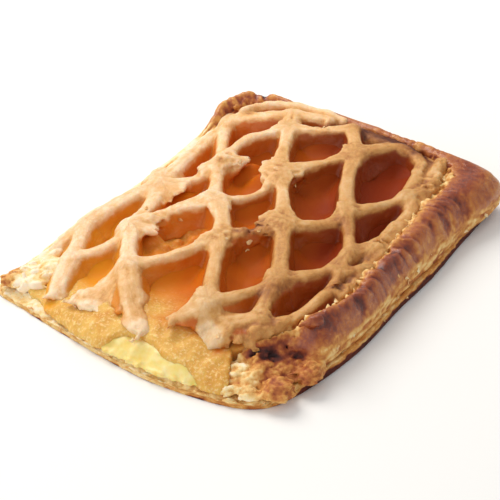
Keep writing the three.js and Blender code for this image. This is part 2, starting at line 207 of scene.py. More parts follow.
def domeFloor(x, y):
    top = domeTop(x, y)
    depth = np.minimum(pie["strandDepth"], top - pie["sheetThickness"] - pie["thinnestFilling"])
    return top - depth - pie["clearance"]


def custardBare(x):
    # share of the custard strip along the tear
    left, right, run = pie["custardFront"]
    return smooth((x - left) / run) * smooth((right - x) / run)


def fleshBack(x):
    usual, more, at, reach = pie["fleshBack"]
    return custardBare(x) * (usual + more * np.exp(-(((x - at) / reach) ** 2)))


def slump(x, y):
    return clamp01((tearFootY(x) + pie["tearReach"] - y) / pie["tearReach"])


def fillingTop(x, y):
    fall = slump(x, y)
    return mix(pie["sheetThickness"], domeFloor(x, y), np.sqrt(1 - fall * fall))


# Meshes

# A field counts heights as this share of a distance, because the tops that they stand for slope
heightShare = 0.8

def makePiece(name, points, faces, marks=None):
    # an object from points in layout millimetres; marks are named numbers for its material
    mesh = bpy.data.meshes.new(name)
    placed = (np.asarray(points) + pie["shift"]) * 0.001
    mesh.from_pydata(placed.tolist(), [], faces.tolist() if isinstance(faces, np.ndarray) else faces)
    mesh.validate()
    mesh.polygons.foreach_set("use_smooth", [True] * len(mesh.polygons))
    for mark, values in (marks or {}).items():
        kind, field = ("FLOAT_VECTOR", "vector") if values.ndim == 2 else ("FLOAT", "value")
        layer = mesh.attributes.new(mark, kind, "POINT")
        layer.data.foreach_set(field, np.asarray(values, np.float32).ravel())
    mesh.update()
    obj = bpy.data.objects.new(name, mesh)
    bpy.context.scene.collection.objects.link(obj)
    return obj


def vertexNormals(points, faces):
    a, b, c, d = (points[faces[:, k]] for k in range(4))
    flat = np.cross(c - a, d - b)
    normals = np.zeros_like(points)
    for k in range(4):
        np.add.at(normals, faces[:, k], flat)
    return normals / np.maximum(np.linalg.norm(normals, axis=1), 1e-9)[:, None]


def ridgeHeights(points, faces, normals, rounds):
    # how far each point stands above the mesh smoothed around it
    count = np.maximum(np.bincount(faces.ravel(), minlength=len(points)), 1)[:, None]
    smoothed = points
    for _ in range(rounds):
        middles = np.repeat(smoothed[faces].mean(1), 4, axis=0)
        sums = [np.bincount(faces.ravel(), middles[:, k], len(points)) for k in range(3)]
        smoothed = np.stack(sums, 1) / count
    return np.einsum("ij,ij->i", points - smoothed, normals)


def outwards(points, faces):
    # turns all faces of a closed mesh the same way if they point inwards
    a, b, c, d = (points[faces[:, k]] for k in range(4))
    volume = np.einsum("ij,ij->", a, np.cross(b, c)) + np.einsum("ij,ij->", a, np.cross(c, d))
    return faces if volume > 0 else faces[:, ::-1]


def loftFaces(rings, count):
    # quads between closed rings of points
    r, k = np.meshgrid(np.arange(rings - 1), np.arange(count), indexing="ij")
    a = r * count + k
    b = r * count + (k + 1) % count
    return np.stack([a, b, b + count, a + count], -1).reshape(-1, 4)


def largestPart(points, faces):
    # leaves out every loose piece of a mesh but the largest
    label = np.arange(len(points))
    while True:
        lowest = label[faces].min(1)
        joined = label.copy()
        np.minimum.at(joined, faces.ravel(), np.repeat(lowest, 4))
        joined = joined[joined]
        if np.array_equal(joined, label):
            break
        label = joined
    used = label == np.bincount(label[faces[:, 0]]).argmax()
    number = np.cumsum(used) - 1
    return points[used], number[faces[used[faces[:, 0]]]]


class Field:
    # a block of space sampled every step millimetres; below 0 is inside a solid
    def __init__(self, low, high, step):
        self.low = np.array(low, float)
        self.step = step
        self.axes = [np.arange(a, b + step, step) for a, b in zip(low, high)]
        self.shape = tuple(len(axis) for axis in self.axes)

    def plan(self):
        return np.meshgrid(self.axes[0], self.axes[1], indexing="ij")

    def points(self):
        grid = np.meshgrid(*self.axes, indexing="ij")
        return np.stack([g.ravel() for g in grid], 1)

    def distances(self, path, reach):
        # in plan: distance to a path up to reach, share of it passed, and its side (+1 is left)
        x, y = self.plan()
        best = np.full(x.shape, float(reach))
        along = np.zeros(x.shape)
        side = np.ones(x.shape)
        for k in range(len(path) - 1):
            a, b = path[k, :2], path[k + 1, :2]
            low, high = np.minimum(a, b) - reach, np.maximum(a, b) + reach
            x0, x1 = np.searchsorted(self.axes[0], (low[0], high[0]))
            y0, y1 = np.searchsorted(self.axes[1], (low[1], high[1]))
            box = (slice(x0, x1), slice(y0, y1))
            px, py = x[box] - a[0], y[box] - a[1]
            bx, by = b - a
            t = np.clip((px * bx + py * by) / (bx * bx + by * by + 1e-12), 0, 1)
            d = np.hypot(px - t * bx, py - t * by)
            near = d < best[box]
            best[box] = np.where(near, d, best[box])
            along[box] = np.where(near, (k + t) / (len(path) - 1), along[box])
            side[box] = np.where(near, np.sign(bx * py - by * px), side[box])
        return best, along, side

    def flat(self):
        # the places in plan as points at height 0
        x, y = self.plan()
        return np.stack([x.ravel(), y.ravel(), 0 * x.ravel()], 1)

    def around(self, values, reach):
        # which samples lie near the surface, and where they are
        near = np.abs(values) < reach
        return near, self.points().reshape(self.shape + (3,))[near]

    def read(self, values, x, y):
        # values of a plan array at any places
        u = np.clip((x - self.low[0]) / self.step, 0, self.shape[0] - 1.001)
        v = np.clip((y - self.low[1]) / self.step, 0, self.shape[1] - 1.001)
        i, j = u.astype(int), v.astype(int)
        f, g = u - i, v - j
        near = mix(values[i, j], values[i, j + 1], g)
        return mix(near, mix(values[i + 1, j], values[i + 1, j + 1], g), f)

    def mesh(self, values):
        grid = openvdb.FloatGrid(3.0)
        grid.copyFromArray(np.ascontiguousarray(values, dtype=np.float32))
        points, quads = grid.convertToQuads(isovalue=0.0)
        points, quads = largestPart(np.asarray(points, float), np.asarray(quads, np.int64))
        points = self.low + points * self.step
        return points, outwards(points, quads)


# Lattice

lattice = {
    "step": 0.59,  # spacing of the field that the dough is meshed from
    "halfWidth": 2.5,  # of a usual strand, at its middle
    "flare": 0.95,  # share that a strand widens by at its foot, where it slumped into the jelly
    "waist": 0.16,  # share of its width that a strand loses half way
    "fillet": 0.62,  # how far strands flow into each other where they meet
    "keel": 0.7,  # how much a strand's lower half narrows, against its upper half
    "roundness": 3.0,  # 2 is an ellipse in section, more is boxier
    "lumps": 0.5,  # relief of bumps as wide as a strand
    "grain": 0.13,  # relief of bumps about 2 mm across
    "streak": 0.07,  # fine ridges that the stretched dough has along each strand
    "crumble": 0.95,  # relief where the dough has split and flaked
    "ragged": 0.4,  # unevenness of its edge against the right side of the border
    "fray": 1.2,  # length of the threads at a torn end
    "ridge": 0.15,  # relief that makes its full difference to the painted highlight on ridges and painted shade in hollows
    # how far its feet, its tops at the left and its tops at the right reach into the border
    "overlap": (0.6, 4.2, 2.2),
    "rightHalf": 22.0,  # right of this x it runs against the glazed side
    "buried": 1.6,  # depth under the filling's top that the strands are cut off at
    "ceiling": 17.3,  # above this height the joints are pressed down
    "squash": 0.42,  # share of what stands above it that is left
}
# Where the dough has split: place in plan, reach and how far it has gone
splits = [
    ((-5.5, 21.0), 5.0, 0.7),
    ((0.5, -18.5), 5.0, 0.9),
    ((6.0, -11.0), 5.0, 0.9),
    ((11.3, -2.7), 4.0, 0.7),
    ((-23.0, 22.0), 4.5, 0.6),
    ((-12.0, 54.0), 5.0, 0.6),
    ((-24.0, -16.0), 5.0, 0.7),
    ((33.0, -41.0), 3.5, 0.6),
    ((27.0, -61.0), 4.5, 0.6),
    ((28.3, -54.5), 3.0, 0.6),
    ((-27.0, -60.0), 4.0, 0.6),
    ((4.5, -62.0), 4.5, 0.6),
    ((-17.5, -59.0), 4.5, 0.7),
    ((9.6, -59.0), 4.0, 0.6),
    ((26.6, 49.6), 3.5, 0.7),
    ((34.0, 44.0), 4.0, 0.7),
    ((39.0, 8.0), 4.0, 0.6),
    ((41.5, -20.0), 4.0, 0.6),
    ((38.0, -42.0), 3.5, 0.5),
]
# Tops of the joints, where strands of the slit dough part
jointTops = {
    "a0": (-43.9, 48.8, 11.1),
    "a1": (-25.8, 19.0, 14.7),
    "a2": (-13.8, -1.9, 16.5),
    "a3": (0.2, -18.8, 17.6),
    "a4": (16.9, -48.7, 16.6),
    "b0": (-25.2, 59.2, 15.7),
    "b1": (-18.8, 47.1, 16.8),
    "b2": (-5.1, 20.7, 17.9),
    "b3": (11.3, -2.7, 17.7),
    "b4": (26.3, -28.4, 16.3),
    "b5": (31.1, -45.1, 15.2),
    "c1": (-1.9, 57.0, 18.3),
    "c2": (7.6, 44.0, 18.1),
    "c3": (23.5, 13.2, 16.3),
    "c4": (34.4, -3.8, 14.7),
    "c5": (37.5, -13.2, 14.3),
    "d2": (23.8, 54.3, 15.6),
    "d3": (31.6, 33.9, 14.4),
    "e2": (-36.5, 2.6, 11.5),
    "e3": (-28.5, -24.2, 13.0),
    "e4": (-14.2, -43.9, 15.4),
    "f3": (-44.2, -25.4, 9.4),
    "f4": (-35.3, -43.2, 10.1),
}
# Each strand: two joints, how far it bows to the left of its run, its width against the usual
# and how far it sags below the line between the joints
strands = [
    ("a0", "a1", -0.7, 1.0, 0.0),
    ("a1", "a2", -0.4, 1.0, 0.0),
    ("a2", "a3", 1.6, 1.2, 0.0),
    ("a3", "a4", -0.1, 1.05, 0.0),
    ("b0", "b1", 0.0, 1.4, 0.0),
    ("b1", "b2", -0.5, 1.05, 0.0),
    ("b2", "b3", 0.4, 1.0, 0.0),
    ("b3", "b4", 0.4, 1.1, 0.0),
    ("b4", "b5", -0.1, 1.1, 0.0),
    ("c1", "c2", 0.0, 0.9, 0.3),
    ("c2", "c3", -1.3, 1.05, 0.0),
    ("c3", "c4", 0.4, 0.9, 0.0),
    ("e2", "e3", 0.7, 1.25, 0.0),
    ("e3", "e4", 0.0, 1.2, 0.0),
    ("f3", "f4", 0.1, 1.1, 0.0),
    ("a1", "b1", 5.0, 1.0, 0.0),
    ("a2", "b2", -4.6, 0.7, 1.5),
    ("a3", "b3", -1.1, 0.95, 0.5),
    ("a4", "b4", -1.5, 1.0, 0.0),
    ("b1", "c1", -1.2, 1.0, 0.2),
    ("b2", "c2", -0.2, 0.9, 0.5),
    ("b3", "c3", -3.2, 1.05, 0.9),
    ("b4", "c4", -2.6, 1.05, 0.4),
    ("c3", "d3", 0.0, 0.95, 0.3),
    ("e2", "a1", -3.2, 0.85, 0.0),
    ("e3", "a2", 1.6, 1.3, 0.2),
    ("e4", "a3", -2.4, 1.0, 0.4),
    ("f3", "e2", 1.6, 1.15, 0.0),
    ("f4", "e3", -2.8, 0.95, 0.4),
]
# Strands that wander off the grid: places on their tops, and half widths from end to end
wanderers = [
    # along the right border, from its middle down to the torn corner
    ([(37.5, -13.1, 14.3), (39.6, -24, 14.2), (39.2, -34, 14.2), (37.2, -42, 14.3),
        (33, -49.4, 14.4)], (1.7, 1.9, 2.0)),
    # arch over the large hole at the back right, torn off at its end
    ([(7.6, 44, 18.1), (10.6, 50.4, 17.6), (14.6, 56.4, 16.8), (20.6, 56.9, 16.0),
        (26.2, 52.4, 15.3)], (2.6, 2.5, 2.2)),
    # arm that reaches up to it from below
    ([(31.6, 33.9, 14.6), (29.4, 42, 14.8), (26.6, 49.6, 14.7)], (3.0, 2.6, 2.0)),
    ([(34.4, -3.8, 14.7), (36.4, 3.2, 14.5), (37.6, 10.5, 14.2), (37.2, 19, 13.9)], (2.4, 2.6, 2.8)),
    # two folds side by side over the back left corner
    ([(-42.9, 47.4, 12.2), (-38, 49.4, 14.4), (-30, 53, 16.2), (-22, 57.4, 17.0), (-12, 59, 16.8)],
        (2.8, 3.2, 2.4)),
    ([(-39.6, 51.6, 14.6), (-35, 57.6, 16.0), (-27, 61.6, 16.8), (-17, 63, 16.6), (-8, 62, 16.2)],
        (1.2, 2.0, 1.4)),
    # ledge along the back rim behind the arch
    ([(0.0, 60.0, 15.6), (10.0, 60.6, 14.8), (19.0, 59.4, 14.2), (28.0, 56.6, 13.6)], (2.2, 2.8, 2.6)),
    # pale piece in the back right corner
    ([(30.2, 58.5, 15.4), (31.6, 52.0, 15.0), (33.0, 46.0, 14.6), (35.0, 38.4, 14.1)], (2.2, 3.0, 2.6)),
    # flat ledge where the strands run out against the right border
    ([(34.0, 46, 13.4), (36.2, 34, 13.5), (38.0, 18, 13.4), (40.4, 2, 13.4)], (2.4, 3.2, 2.8)),
    ([(40.4, 2, 13.4), (42.0, -10, 13.4), (43.0, -22, 13.3)], (2.6, 2.2, 1.6)),
    # along the left border
    ([(-43.9, 48.8, 11.1), (-42.9, 38.9, 11.0), (-42.1, 28.3, 10.9), (-40.2, 14, 11.0),
        (-36.5, 2.6, 11.4)], (2.4, 2.6, 2.8)),
]
# Strands that run straight on into the border, by the place where they reach it
borderRuns = [
    ("a0", (-47.5, 58, 12.0), 1.0),
    ("d3", (38, 44, 14.0), 0.9),
    ("d3", (39, 26, 13.8), 1.0),
    ("c5", (43.4, -6, 13.9), 0.8),
    ("c4", (37.5, -13.1, 14.3), 0.7),
    ("e2", (-46.5, 14, 8.8), 0.9),
    ("e2", (-46.5, -12, 8.8), 0.9),
    ("f3", (-46.5, -12, 8.6), 1.0),
    ("f3", (-46.5, -40, 7.6), 1.0),
]
# Torn tongues of dough that hang over the filling: their paths, half widths and depths. The tear
# cuts each off at its path's end.
tornTongues = [
    ([(-35.3, -43.2, 10.1), (-33.4, -49.5, 9.4), (-31.0, -55, 8.0), (-29.6, -58.2, 6.6)],
        (3.0, 2.5, 2.2), (5.0, 4.0, 1.6)),
    ([(-14.2, -43.9, 15.4), (-8.8, -50.2, 14.4), (-3.8, -55.6, 11.6)], (3.2, 2.9, 2.6), (6.0, 5.0, 2.4)),
    ([(-6.5, -52.5, 12.4), (-2.4, -57.2, 11.4), (2.6, -61.4, 10.2), (5.6, -63.8, 9.3)],
        (2.2, 2.3, 2.0), (2.6, 1.8, 1.2)),
    ([(-14.2, -43.9, 14.6), (-16.2, -50.5, 11.2), (-16.6, -55.5, 9.2), (-16.0, -60.0, 7.8)],
        (2.2, 3.2, 3.2), (2.6, 1.0, 0.7)),
    ([(16.9, -48.7, 16.4), (13.4, -53.5, 15.0), (9.8, -58.6, 13.0)], (3.2, 2.8, 1.0), (6.0, 3.2, 1.2)),
    ([(16.9, -48.7, 16.0), (19.4, -50.6, 14.6), (21.6, -52.0, 13.0)], (3.0, 2.8, 2.0), (6.0, 4.0, 2.0)),
    ([(31.1, -45.1, 15.0), (28.0, -47.2, 14.6), (24.6, -50.2, 13.8), (21.6, -52.8, 12.4)],
        (2.4, 2.8, 1.5), (5.0, 2.4, 1.3)),
    ([(24.4, -51.6, 13.8), (23.2, -54.6, 11.6), (22.2, -58.2, 9.0)], (2.8, 2.8, 2.1), (2.4, 2.0, 1.5)),
    # flat skin over the joint at the left, lifted at its right
    ([(-38.6, 5.6, 11.9), (-35.0, 2.0, 12.3), (-29.0, 4.6, 12.9)], (3.8, 4.6, 2.2), (3.0, 2.2, 1.2)),
    # broken ends beside two joints
    ([(-24.5, 20.5, 15.2), (-22.4, 23.6, 15.5), (-19.6, 26.4, 15.0)], (2.0, 1.5, 0.9), (3.0, 1.6, 0.9)),
    ([(-5.6, 21.0, 18.0), (-4.2, 24.0, 18.2), (-1.8, 26.4, 18.0)], (1.8, 1.3, 0.9), (2.4, 1.3, 0.9)),
]


# Flakes of skin that stand off the joints: the joint each lifts from, its ragged end and its
# half width
jointFlakes = [
    ("a1", (-28.6, 12.0, 14.6), 1.7),
    ("a1", (-25.4, 25.4, 15.5), 1.5),
    ("b1", (-22.8, 47.4, 17.4), 2.0),
    ("b2", (-12.2, 22.4, 17.8), 1.8),
    ("b2", (-6.4, 25.6, 18.3), 1.5),
    ("b2", (-1.0, 16.0, 18.0), 1.6),
    ("b3", (4.6, -4.6, 17.4), 1.8),
    ("b3", (6.4, 1.2, 17.9), 1.6),
    ("b3", (13.4, -8.4, 17.2), 1.6),
    ("a3", (-2.4, -25.2, 16.8), 1.9),
    ("a2", (-8.0, -6.4, 16.8), 1.9),
    ("a2", (-19.4, -1.4, 15.8), 1.6),
    ("e3", (-20.4, -22.0, 12.6), 1.6),
    ("c2", (3.0, 45.6, 18.2), 1.4),
    ("c3", (19.4, 15.4, 16.8), 1.4),
    ("b4", (22.2, -25.0, 16.4), 1.5),
    ("a4", (12.0, -45.0, 16.4), 1.6),
]


def strandPath(start, end, bow, sag=0.0, count=9):
    a = np.array(start, float)
    b = np.array(end, float)
    run = b - a
    side = np.array([-run[1], run[0], 0]) / np.hypot(run[0], run[1])
    t = np.linspace(0, 1, count)[:, None]
    path = a + run * t + side * bow * np.sin(np.pi * t)
    path[:, 2] += (0.5 - sag) * np.sin(np.pi * t[:, 0])
    return path


def addRibbon(block, total, path, halfWidths, depths, torn=False):
    # adds one ribbon of dough to the smoothly joined total, frayed at its end if torn
    reach = 5.5
    low = path.min(0) - reach - 3
    high = path.max(0) + reach + 3
    ranges = [np.searchsorted(axis, (low[k], high[k])) for k, axis in enumerate(block.axes[:2])]
    (x0, x1), (y0, y1) = ranges
    x, y = np.meshgrid(block.axes[0][x0:x1], block.axes[1][y0:y1], indexing="ij")
    d, t = planDistance(x, y, path)
    at = np.linspace(0, 1, len(path))
    top = np.interp(t, at, path[:, 2])
    half = np.interp(t, np.linspace(0, 1, len(halfWidths)), halfWidths)
    depth = np.interp(t, np.linspace(0, 1, len(depths)), depths)
    z = block.axes[2][None, None, :]
    sunk = clamp01((top[:, :, None] - z) / depth[:, :, None])
    across = (d / half)[:, :, None] / (1 + lattice["flare"] * sunk**2)
    up = (z - (top - depth / 2)[:, :, None]) / (depth / 2)[:, :, None]
    up = np.where(up > 0, up, -lattice["keel"] * up)
    n = lattice["roundness"]
    scale = np.minimum(half, depth / 2)[:, :, None]
    ribbon = ((across**n + up**n) ** (1 / n) - 1) * scale
    if torn:
        run = path[-1, :2] - path[-2, :2]
        run = run / np.hypot(*run)
        beyond = (x - path[-1, 0]) * run[0] + (y - path[-1, 1]) * run[1]
        aside = (x - path[-1, 0]) * run[1] - (y - path[-1, 1]) * run[0]
        flat = aside.ravel()
        threads = np.stack([flat / 1.5, 0 * flat + path[-1, 0], 0 * flat], 1)
        fray = waves(threads, 1.0, 33) + 0.5 * waves(threads * 2, 1.0, 34)
        end = beyond + lattice["fray"] * fray.reshape(x.shape)
        ribbon = np.maximum(ribbon, 0.8 * end[:, :, None])
    total[x0:x1, y0:y1, :] += np.exp(-ribbon / lattice["fillet"])


def ribbonNetwork():
    # every strand as a path with half widths and depths
    ribbons = []
    usual = lattice["halfWidth"]

    def depthsAlong(path):
        x, y = path[:, 0], path[:, 1]
        return np.maximum(2.0, path[:, 2] - domeFloor(x, y) + 1.2)

    for start, end, bow, width, sag in strands:
        path = strandPath(jointTops[start], jointTops[end], bow, sag)
        t = np.linspace(0, 1, 9)
        halves = usual * width * (1 - lattice["waist"] * np.sin(np.pi * t) ** 2)
        ribbons.append((path, halves, depthsAlong(path), False))
    for start, place, width in borderRuns:
        path = strandPath(jointTops[start], place, 0)
        halves = usual * width * np.linspace(1, 1.1, 9)
        ribbons.append((path, halves, depthsAlong(path), False))
    for places, halves in wanderers:
        path = curveThrough(places, 13)
        ribbons.append((path, np.array(halves), depthsAlong(path), False))
    for places, halves, depths in tornTongues:
        ribbons.append((curveThrough(places, 9), np.array(halves), np.array(depths), True))
    for start, end, half in jointFlakes:
        path = strandPath(jointTops[start], end, 0)
        path[:, 2] += 0.3
        ribbons.append((path, half * np.array([1.2, 1.0, 0.6]), np.array([2.6, 1.2, 0.8]), True))
    return ribbons


# Places where the dough is baked browner or redder than around: place in plan, reach and share
brownings = [
    ((32.8, -20.6), 6.0, 0.05),
    ((28.6, -16.0), 6.0, -0.12),
    ((38.0, -34.0), 8.0, -0.12),
    ((-32.0, 52.0), 10.0, 0.14),
    ((-30.0, 32.0), 9.0, 0.08),
    ((-19.0, 8.0), 7.0, 0.12),
    ((-12.0, 34.0), 7.0, 0.12),
    ((29.0, -37.0), 6.0, 0.16),
    ((28.5, -47.0), 4.5, -0.2),
    ((20.0, -16.0), 9.0, 0.14),
    ((30.0, -37.0), 8.0, 0.08),
    ((29.0, 4.0), 7.0, 0.14),
    ((32.0, 50.0), 7.0, -0.26),
    ((37.0, 28.0), 9.0, -0.22),
    ((38.5, 6.0), 7.0, -0.16),
    ((-14.0, 52.0), 12.0, 0.08),
    ((2.0, 62.5), 6.0, 0.65),
    ((12.0, 62.5), 6.0, 0.65),
    ((22.0, 60.5), 6.0, 0.65),
    ((5.5, -12.0), 5.0, 0.34),
    ((-25.3, 18.0), 1.8, 0.4),
    ((-9.0, -51.0), 7.0, 0.06),
    ((17.0, -51.0), 6.0, -0.14),
    ((12.0, 46.0), 9.0, 0.1),
]


# Ends of the torn tongues, stretched so thin that they stay white: place in plan and reach
paleTips = [((4.2, -62.8), 5.2), ((-16.0, -59.6), 4.0), ((22.6, -56.8), 5.0), ((9.0, -59.0), 1.8)]


def splitAmount(x, y):
    amount = np.zeros(x.shape)
    for middle, reach, share in splits:
        amount = np.maximum(amount, share * spot(x, y, middle, reach))
    return amount


def strandGrain(points, ribbons):
    # each point's place along, across and up the nearest strand, and how far below its crest
    x, y = points[:, 0], points[:, 1]
    best = np.full(len(x), 1e9)
    along = np.zeros(len(x))
    across = np.zeros(len(x))
    crest = np.zeros(len(x))
    for number, (path, halves, depths, torn) in enumerate(ribbons):
        low, high = path.min(0) - 6, path.max(0) + 6
        near = (x > low[0]) & (x < high[0]) & (y > low[1]) & (y < high[1])
        d, t = planDistance(x[near], y[near], path)
        length = np.hypot(*np.diff(path[:, :2], axis=0).T).sum()
        closer = d < best[near]
        run = path[-1] - path[0]
        side = np.sign((x[near] - path[0, 0]) * run[1] - (y[near] - path[0, 1]) * run[0])
        chosen = np.flatnonzero(near)[closer]
        best[chosen] = d[closer]
        along[chosen] = t[closer] * length + 40 * number
        across[chosen] = (side * d)[closer]
        crest[chosen] = np.interp(t[closer], np.linspace(0, 1, len(path)), path[:, 2])
    return np.stack([along, across, points[:, 2]], 1), crest - points[:, 2]


def buildLattice(ribbons):
    block = Field((-53, -68, 2.0), (50, 69, 21.5), lattice["step"])
    total = np.full(block.shape, 1e-9)
    for path, halves, depths, torn in ribbons:
        addRibbon(block, total, path, halves, depths, torn)
    values = -lattice["fillet"] * np.log(total)
    # the strands end inside the border, further out at their tops than at their feet
    away, share, side = block.distances(openingPath(), 12.0)
    rows = openingPath()
    edge = np.interp(share, np.linspace(0, 1, len(rows)), rows[:, 2])[:, :, None]
    feet, left, right = lattice["overlap"]
    x, y = block.plan()
    high = mix(left, right, smooth((x - lattice["rightHalf"]) / 8))[:, :, None]
    overlap = mix(feet, high, smooth((block.axes[2][None, None, :] - edge + 1.5) / 2.0))
    overlap = mix(overlap, right, smooth((x - 30) / 3)[:, :, None])
    outside = -away * side
    values = np.maximum(values, (outside[:, :, None] - overlap) * 0.8)
    buried = np.minimum(domeFloor(x, y), fillingTop(x, y)) - lattice["buried"]
    values = np.maximum(values, buried[:, :, None] - block.axes[2][None, None, :])
    near, places = block.around(values, 2.2)
    split = splitAmount(places[:, 0], places[:, 1])
    values[near] += lattice["lumps"] * roughness(places, 7.0, 3, 5)
    flat = places * (1, 1, 1.8)
    torn = 0.3 + 0.75 * creases(flat, 3.2, 3, 77) + 0.35 * waves(flat, 1.4, 78)
    values[near] += lattice["crumble"] * split * torn
    ragged = smooth((block.read(outside, *places[:, :2].T) + 2.0) / 1.5)
    ragged = ragged * (places[:, 0] > lattice["rightHalf"])
    uneven = waves(flat, 2.2, 45) + 0.5 * waves(flat, 1.2, 46)
    values[near] += lattice["ragged"] * ragged * uneven
    points, faces = block.mesh(values)
    normals = vertexNormals(points, faces)
    x, y = points.T[:2]
    split = clamp01(splitAmount(x, y))
    fine = roughness(points, 1.9, 2, 11)
    grain, below = strandGrain(points, ribbons)
    streaks = waves(grain / (7.0, 0.9, 1.6), 1.0, 19) + 0.5 * waves(grain / (5.0, 0.45, 0.8), 1.0, 20)
    push = lattice["grain"] * fine * (1 + split) + lattice["streak"] * streaks * (1 - 0.6 * split)
    points = points + normals * push[:, None]
    z = points[:, 2]
    above = np.maximum(z - lattice["ceiling"], 0)
    points[:, 2] = z - (1 - lattice["squash"]) * above
    tip = np.zeros(len(x))
    for (cx, cy), reach in paleTips:
        away = np.hypot(x - cx, y - cy) + 0.8 * waves(points, 1.6, 35)
        tip = np.maximum(tip, smooth((reach - away) / 1.8))
    # how far each place is baked: paler at the left and browner towards the right, partly real browning and
    # partly painted shade away from the key light at the left; paler on ridges as painted highlight, darker
    # in hollows as painted shade
    right = smooth((x + 34) / 76)
    baked = 0.24 + 0.32 * right + 0.15 * roughness(points, 8.0, 3, 36) - 0.04 * streaks
    for middle, reach, more in brownings:
        baked += more * spot(x, y, middle, reach)
    # painted highlight on ridges and painted shade in hollows
    raised = ridgeHeights(points, faces, vertexNormals(points, faces), 9)
    raised = np.tanh(raised / lattice["ridge"])
    crackle = creases(points * (1, 1, 1.8), 2.0, 2, 79)
    baked += split * (0.06 - 0.1 * crackle) - 0.17 * raised
    flank = smooth((below - 0.4 + 0.5 * waves(points, 2.4, 37)) / 1.5)
    baked = mix(baked, 0.4 + 0.24 * right + 0.12 * roughness(points, 4.0, 2, 38) - 0.1 * raised, flank)
    soak = smooth((below - 0.6 + 0.7 * waves(points, 2.6, 39)) / 2.0)
    # golden where it runs up against the glazed side
    edge = block.read(outside, x, y) + 0.9 * waves(points, 2.4, 47) + 0.5 * waves(points, 1.2, 48)
    edge = smooth((edge + 0.9) / 1.2) * (x > lattice["rightHalf"])
    baked = mix(baked, 0.46 + 0.1 * waves(points, 1.4, 49), 0.85 * edge)
    marks = {
        "baked": mix(baked, 0.0, 0.9 * tip),
        "soak": soak * (1 - tip) * (1 - edge),
        "flaky": np.maximum(split, 0.7 * tip),
        "fibre": grain,
    }
    return makePiece("latticeDough", points, faces, marks)


# Border: its outer and inner edges in plan, heights of the outer shoulder, the crest and the
# inner edge, and how far across the crest stands

borderSections = [
    ((42, -64.2), (29, -54.5), 6, 14.2, 12.6, 0.84),
    ((47.6, -56), (35, -48.5), 6.4, 15.6, 13.6, 0.8),
    ((50.6, -46), (40, -40), 6.8, 16.2, 14, 0.74),
    ((51.6, -33), (43.4, -30), 7.8, 15.8, 14.8, 0.6),
    ((51.6, -18), (43.2, -18), 8, 15.2, 14.7, 0.52),
    ((50.3, 0), (40.8, 0), 8, 15, 14.6, 0.5),
    ((49.7, 19), (38, 18), 8, 14.8, 14.4, 0.5),
    ((48.8, 38), (35.6, 36), 8.6, 14.8, 14.4, 0.5),
    ((49.8, 55), (33.6, 51), 10, 14.8, 13.8, 0.42),
    ((46.6, 65.4), (29, 57.5), 10.6, 15, 14, 0.36),
    ((30, 65.6), (19, 59.6), 11.4, 15.6, 14.4, 0.36),
    ((12, 66), (7, 60.4), 12, 16, 15, 0.38),
    ((-8, 66.2), (-9, 60.6), 12.4, 16.4, 15.2, 0.4),
    ((-26, 66), (-25, 60.6), 12.4, 16.4, 14.4, 0.4),
    ((-43, 65), (-38, 58.4), 12.4, 16.8, 13.6, 0.4),
    ((-50.6, 55), (-43.4, 50), 11.6, 15.8, 12.4, 0.42),
    ((-49.4, 42), (-42.4, 38), 8, 11.4, 10.2, 0.55),
    ((-49, 19), (-42, 18), 6, 9.4, 8.8, 0.6),
    ((-49, -6), (-42, -6), 5.6, 8.8, 8.2, 0.6),
    ((-49.6, -31), (-42.4, -30), 5.4, 8.2, 7.6, 0.6),
    ((-50, -56), (-41, -52), 4.8, 7, 6.2, 0.6),
]
border = {
    "step": 0.45,  # spacing of the field that it is meshed from
    "reach": 24.0,  # places in plan are measured to this far from its edges
    "rounding": 0.8,  # how softly its walls turn into its top
    "lump": 0.55,  # relief of the broad bumps of its crown
    "lumpSize": 8.0,
    "wrinkle": 0.34,  # creases that run across the crown
    "wrinkleSpacing": 2.4,
    "fineWrinkle": 0.08,
    "fineSpacing": 1.2,
    "layerPitch": 1.3,  # baked layers of the side
    "layerRelief": 0.4,
    "glazeHeight": 7.0,  # the egg wash ends about this high on the outer wall
    "groove": 0.8,  # share of the way in where the torn slope is hollow under its crest, darkened there with painted shade
    "cornerRun": 24.0,  # over this length from the tear it is a crumbling slope
    "tearFall": 0.95,  # slope of its torn right end
    "crumble": 0.85,  # roughness of the torn ends
    "ridge": 0.14,  # relief that makes its full difference to the painted highlight on ridges and painted shade in hollows
    "contrast": 0.1,  # how much paler its ridges are than its hollows: painted highlight and painted shade
}
# Slope of the torn corner: heights at shares of the way in from the outer edge
tornSlope = ((0, 0.12, 0.45, 0.74, 0.86, 0.93, 1.0), (3.2, 4.4, 6.8, 9.4, 12.6, 13.6, 13.4))
# Line in plan that the pale torn crumb starts from, and its way towards the tear
crumbLine = ((36.6, -53.0), (-0.70, -0.71))
# Hollows in the glazed crown, where its skin has sunk and is browner: place in plan and reach
hollows = [
    ((47.0, 42.0), 3.0),
    ((46.2, 11.0), 3.6),
    ((44.2, 4.0), 2.2),
    ((46.5, -17.0), 2.6),
    ((49.0, -21.0), 2.2),
    ((45.0, 25.0), 2.2),
    ((47.0, 32.0), 1.8),
    ((44.8, -5.0), 1.8),
    ((-39.4, 63.6), 2.2),
]
# Pits under the crest of the torn corner, darkened with painted shade: place in plan and reach
pits = [((39.6, -50.4), 1.7), ((45.4, -43.4), 2.3), ((47.6, -41.6), 1.7), ((33.4, -53.8), 1.6)]
# Crisp edge of dough along the crest of the torn corner, and its radius
tornCrest = [(31.4, -53.2, 12.3), (34.2, -51.0, 13.2), (38.0, -48.0, 13.9), (43.2, -43.6, 14.8),
    (46.6, -38.6, 15.4)]
crestRadius = 1.25
# Crack across the crown near the back right corner
crownCrack = [(46.1, 35.3, 15.0), (48.5, 34.1, 15.0), (50.6, 32.9, 14.6), (52.1, 30.9, 14.0)]
ridgeRun = (0.78, 0.62)  # way that the crest above the pits runs in plan
stain = ((-37.8, -52.9), 3.4)  # where custard has soaked the crumb yellow
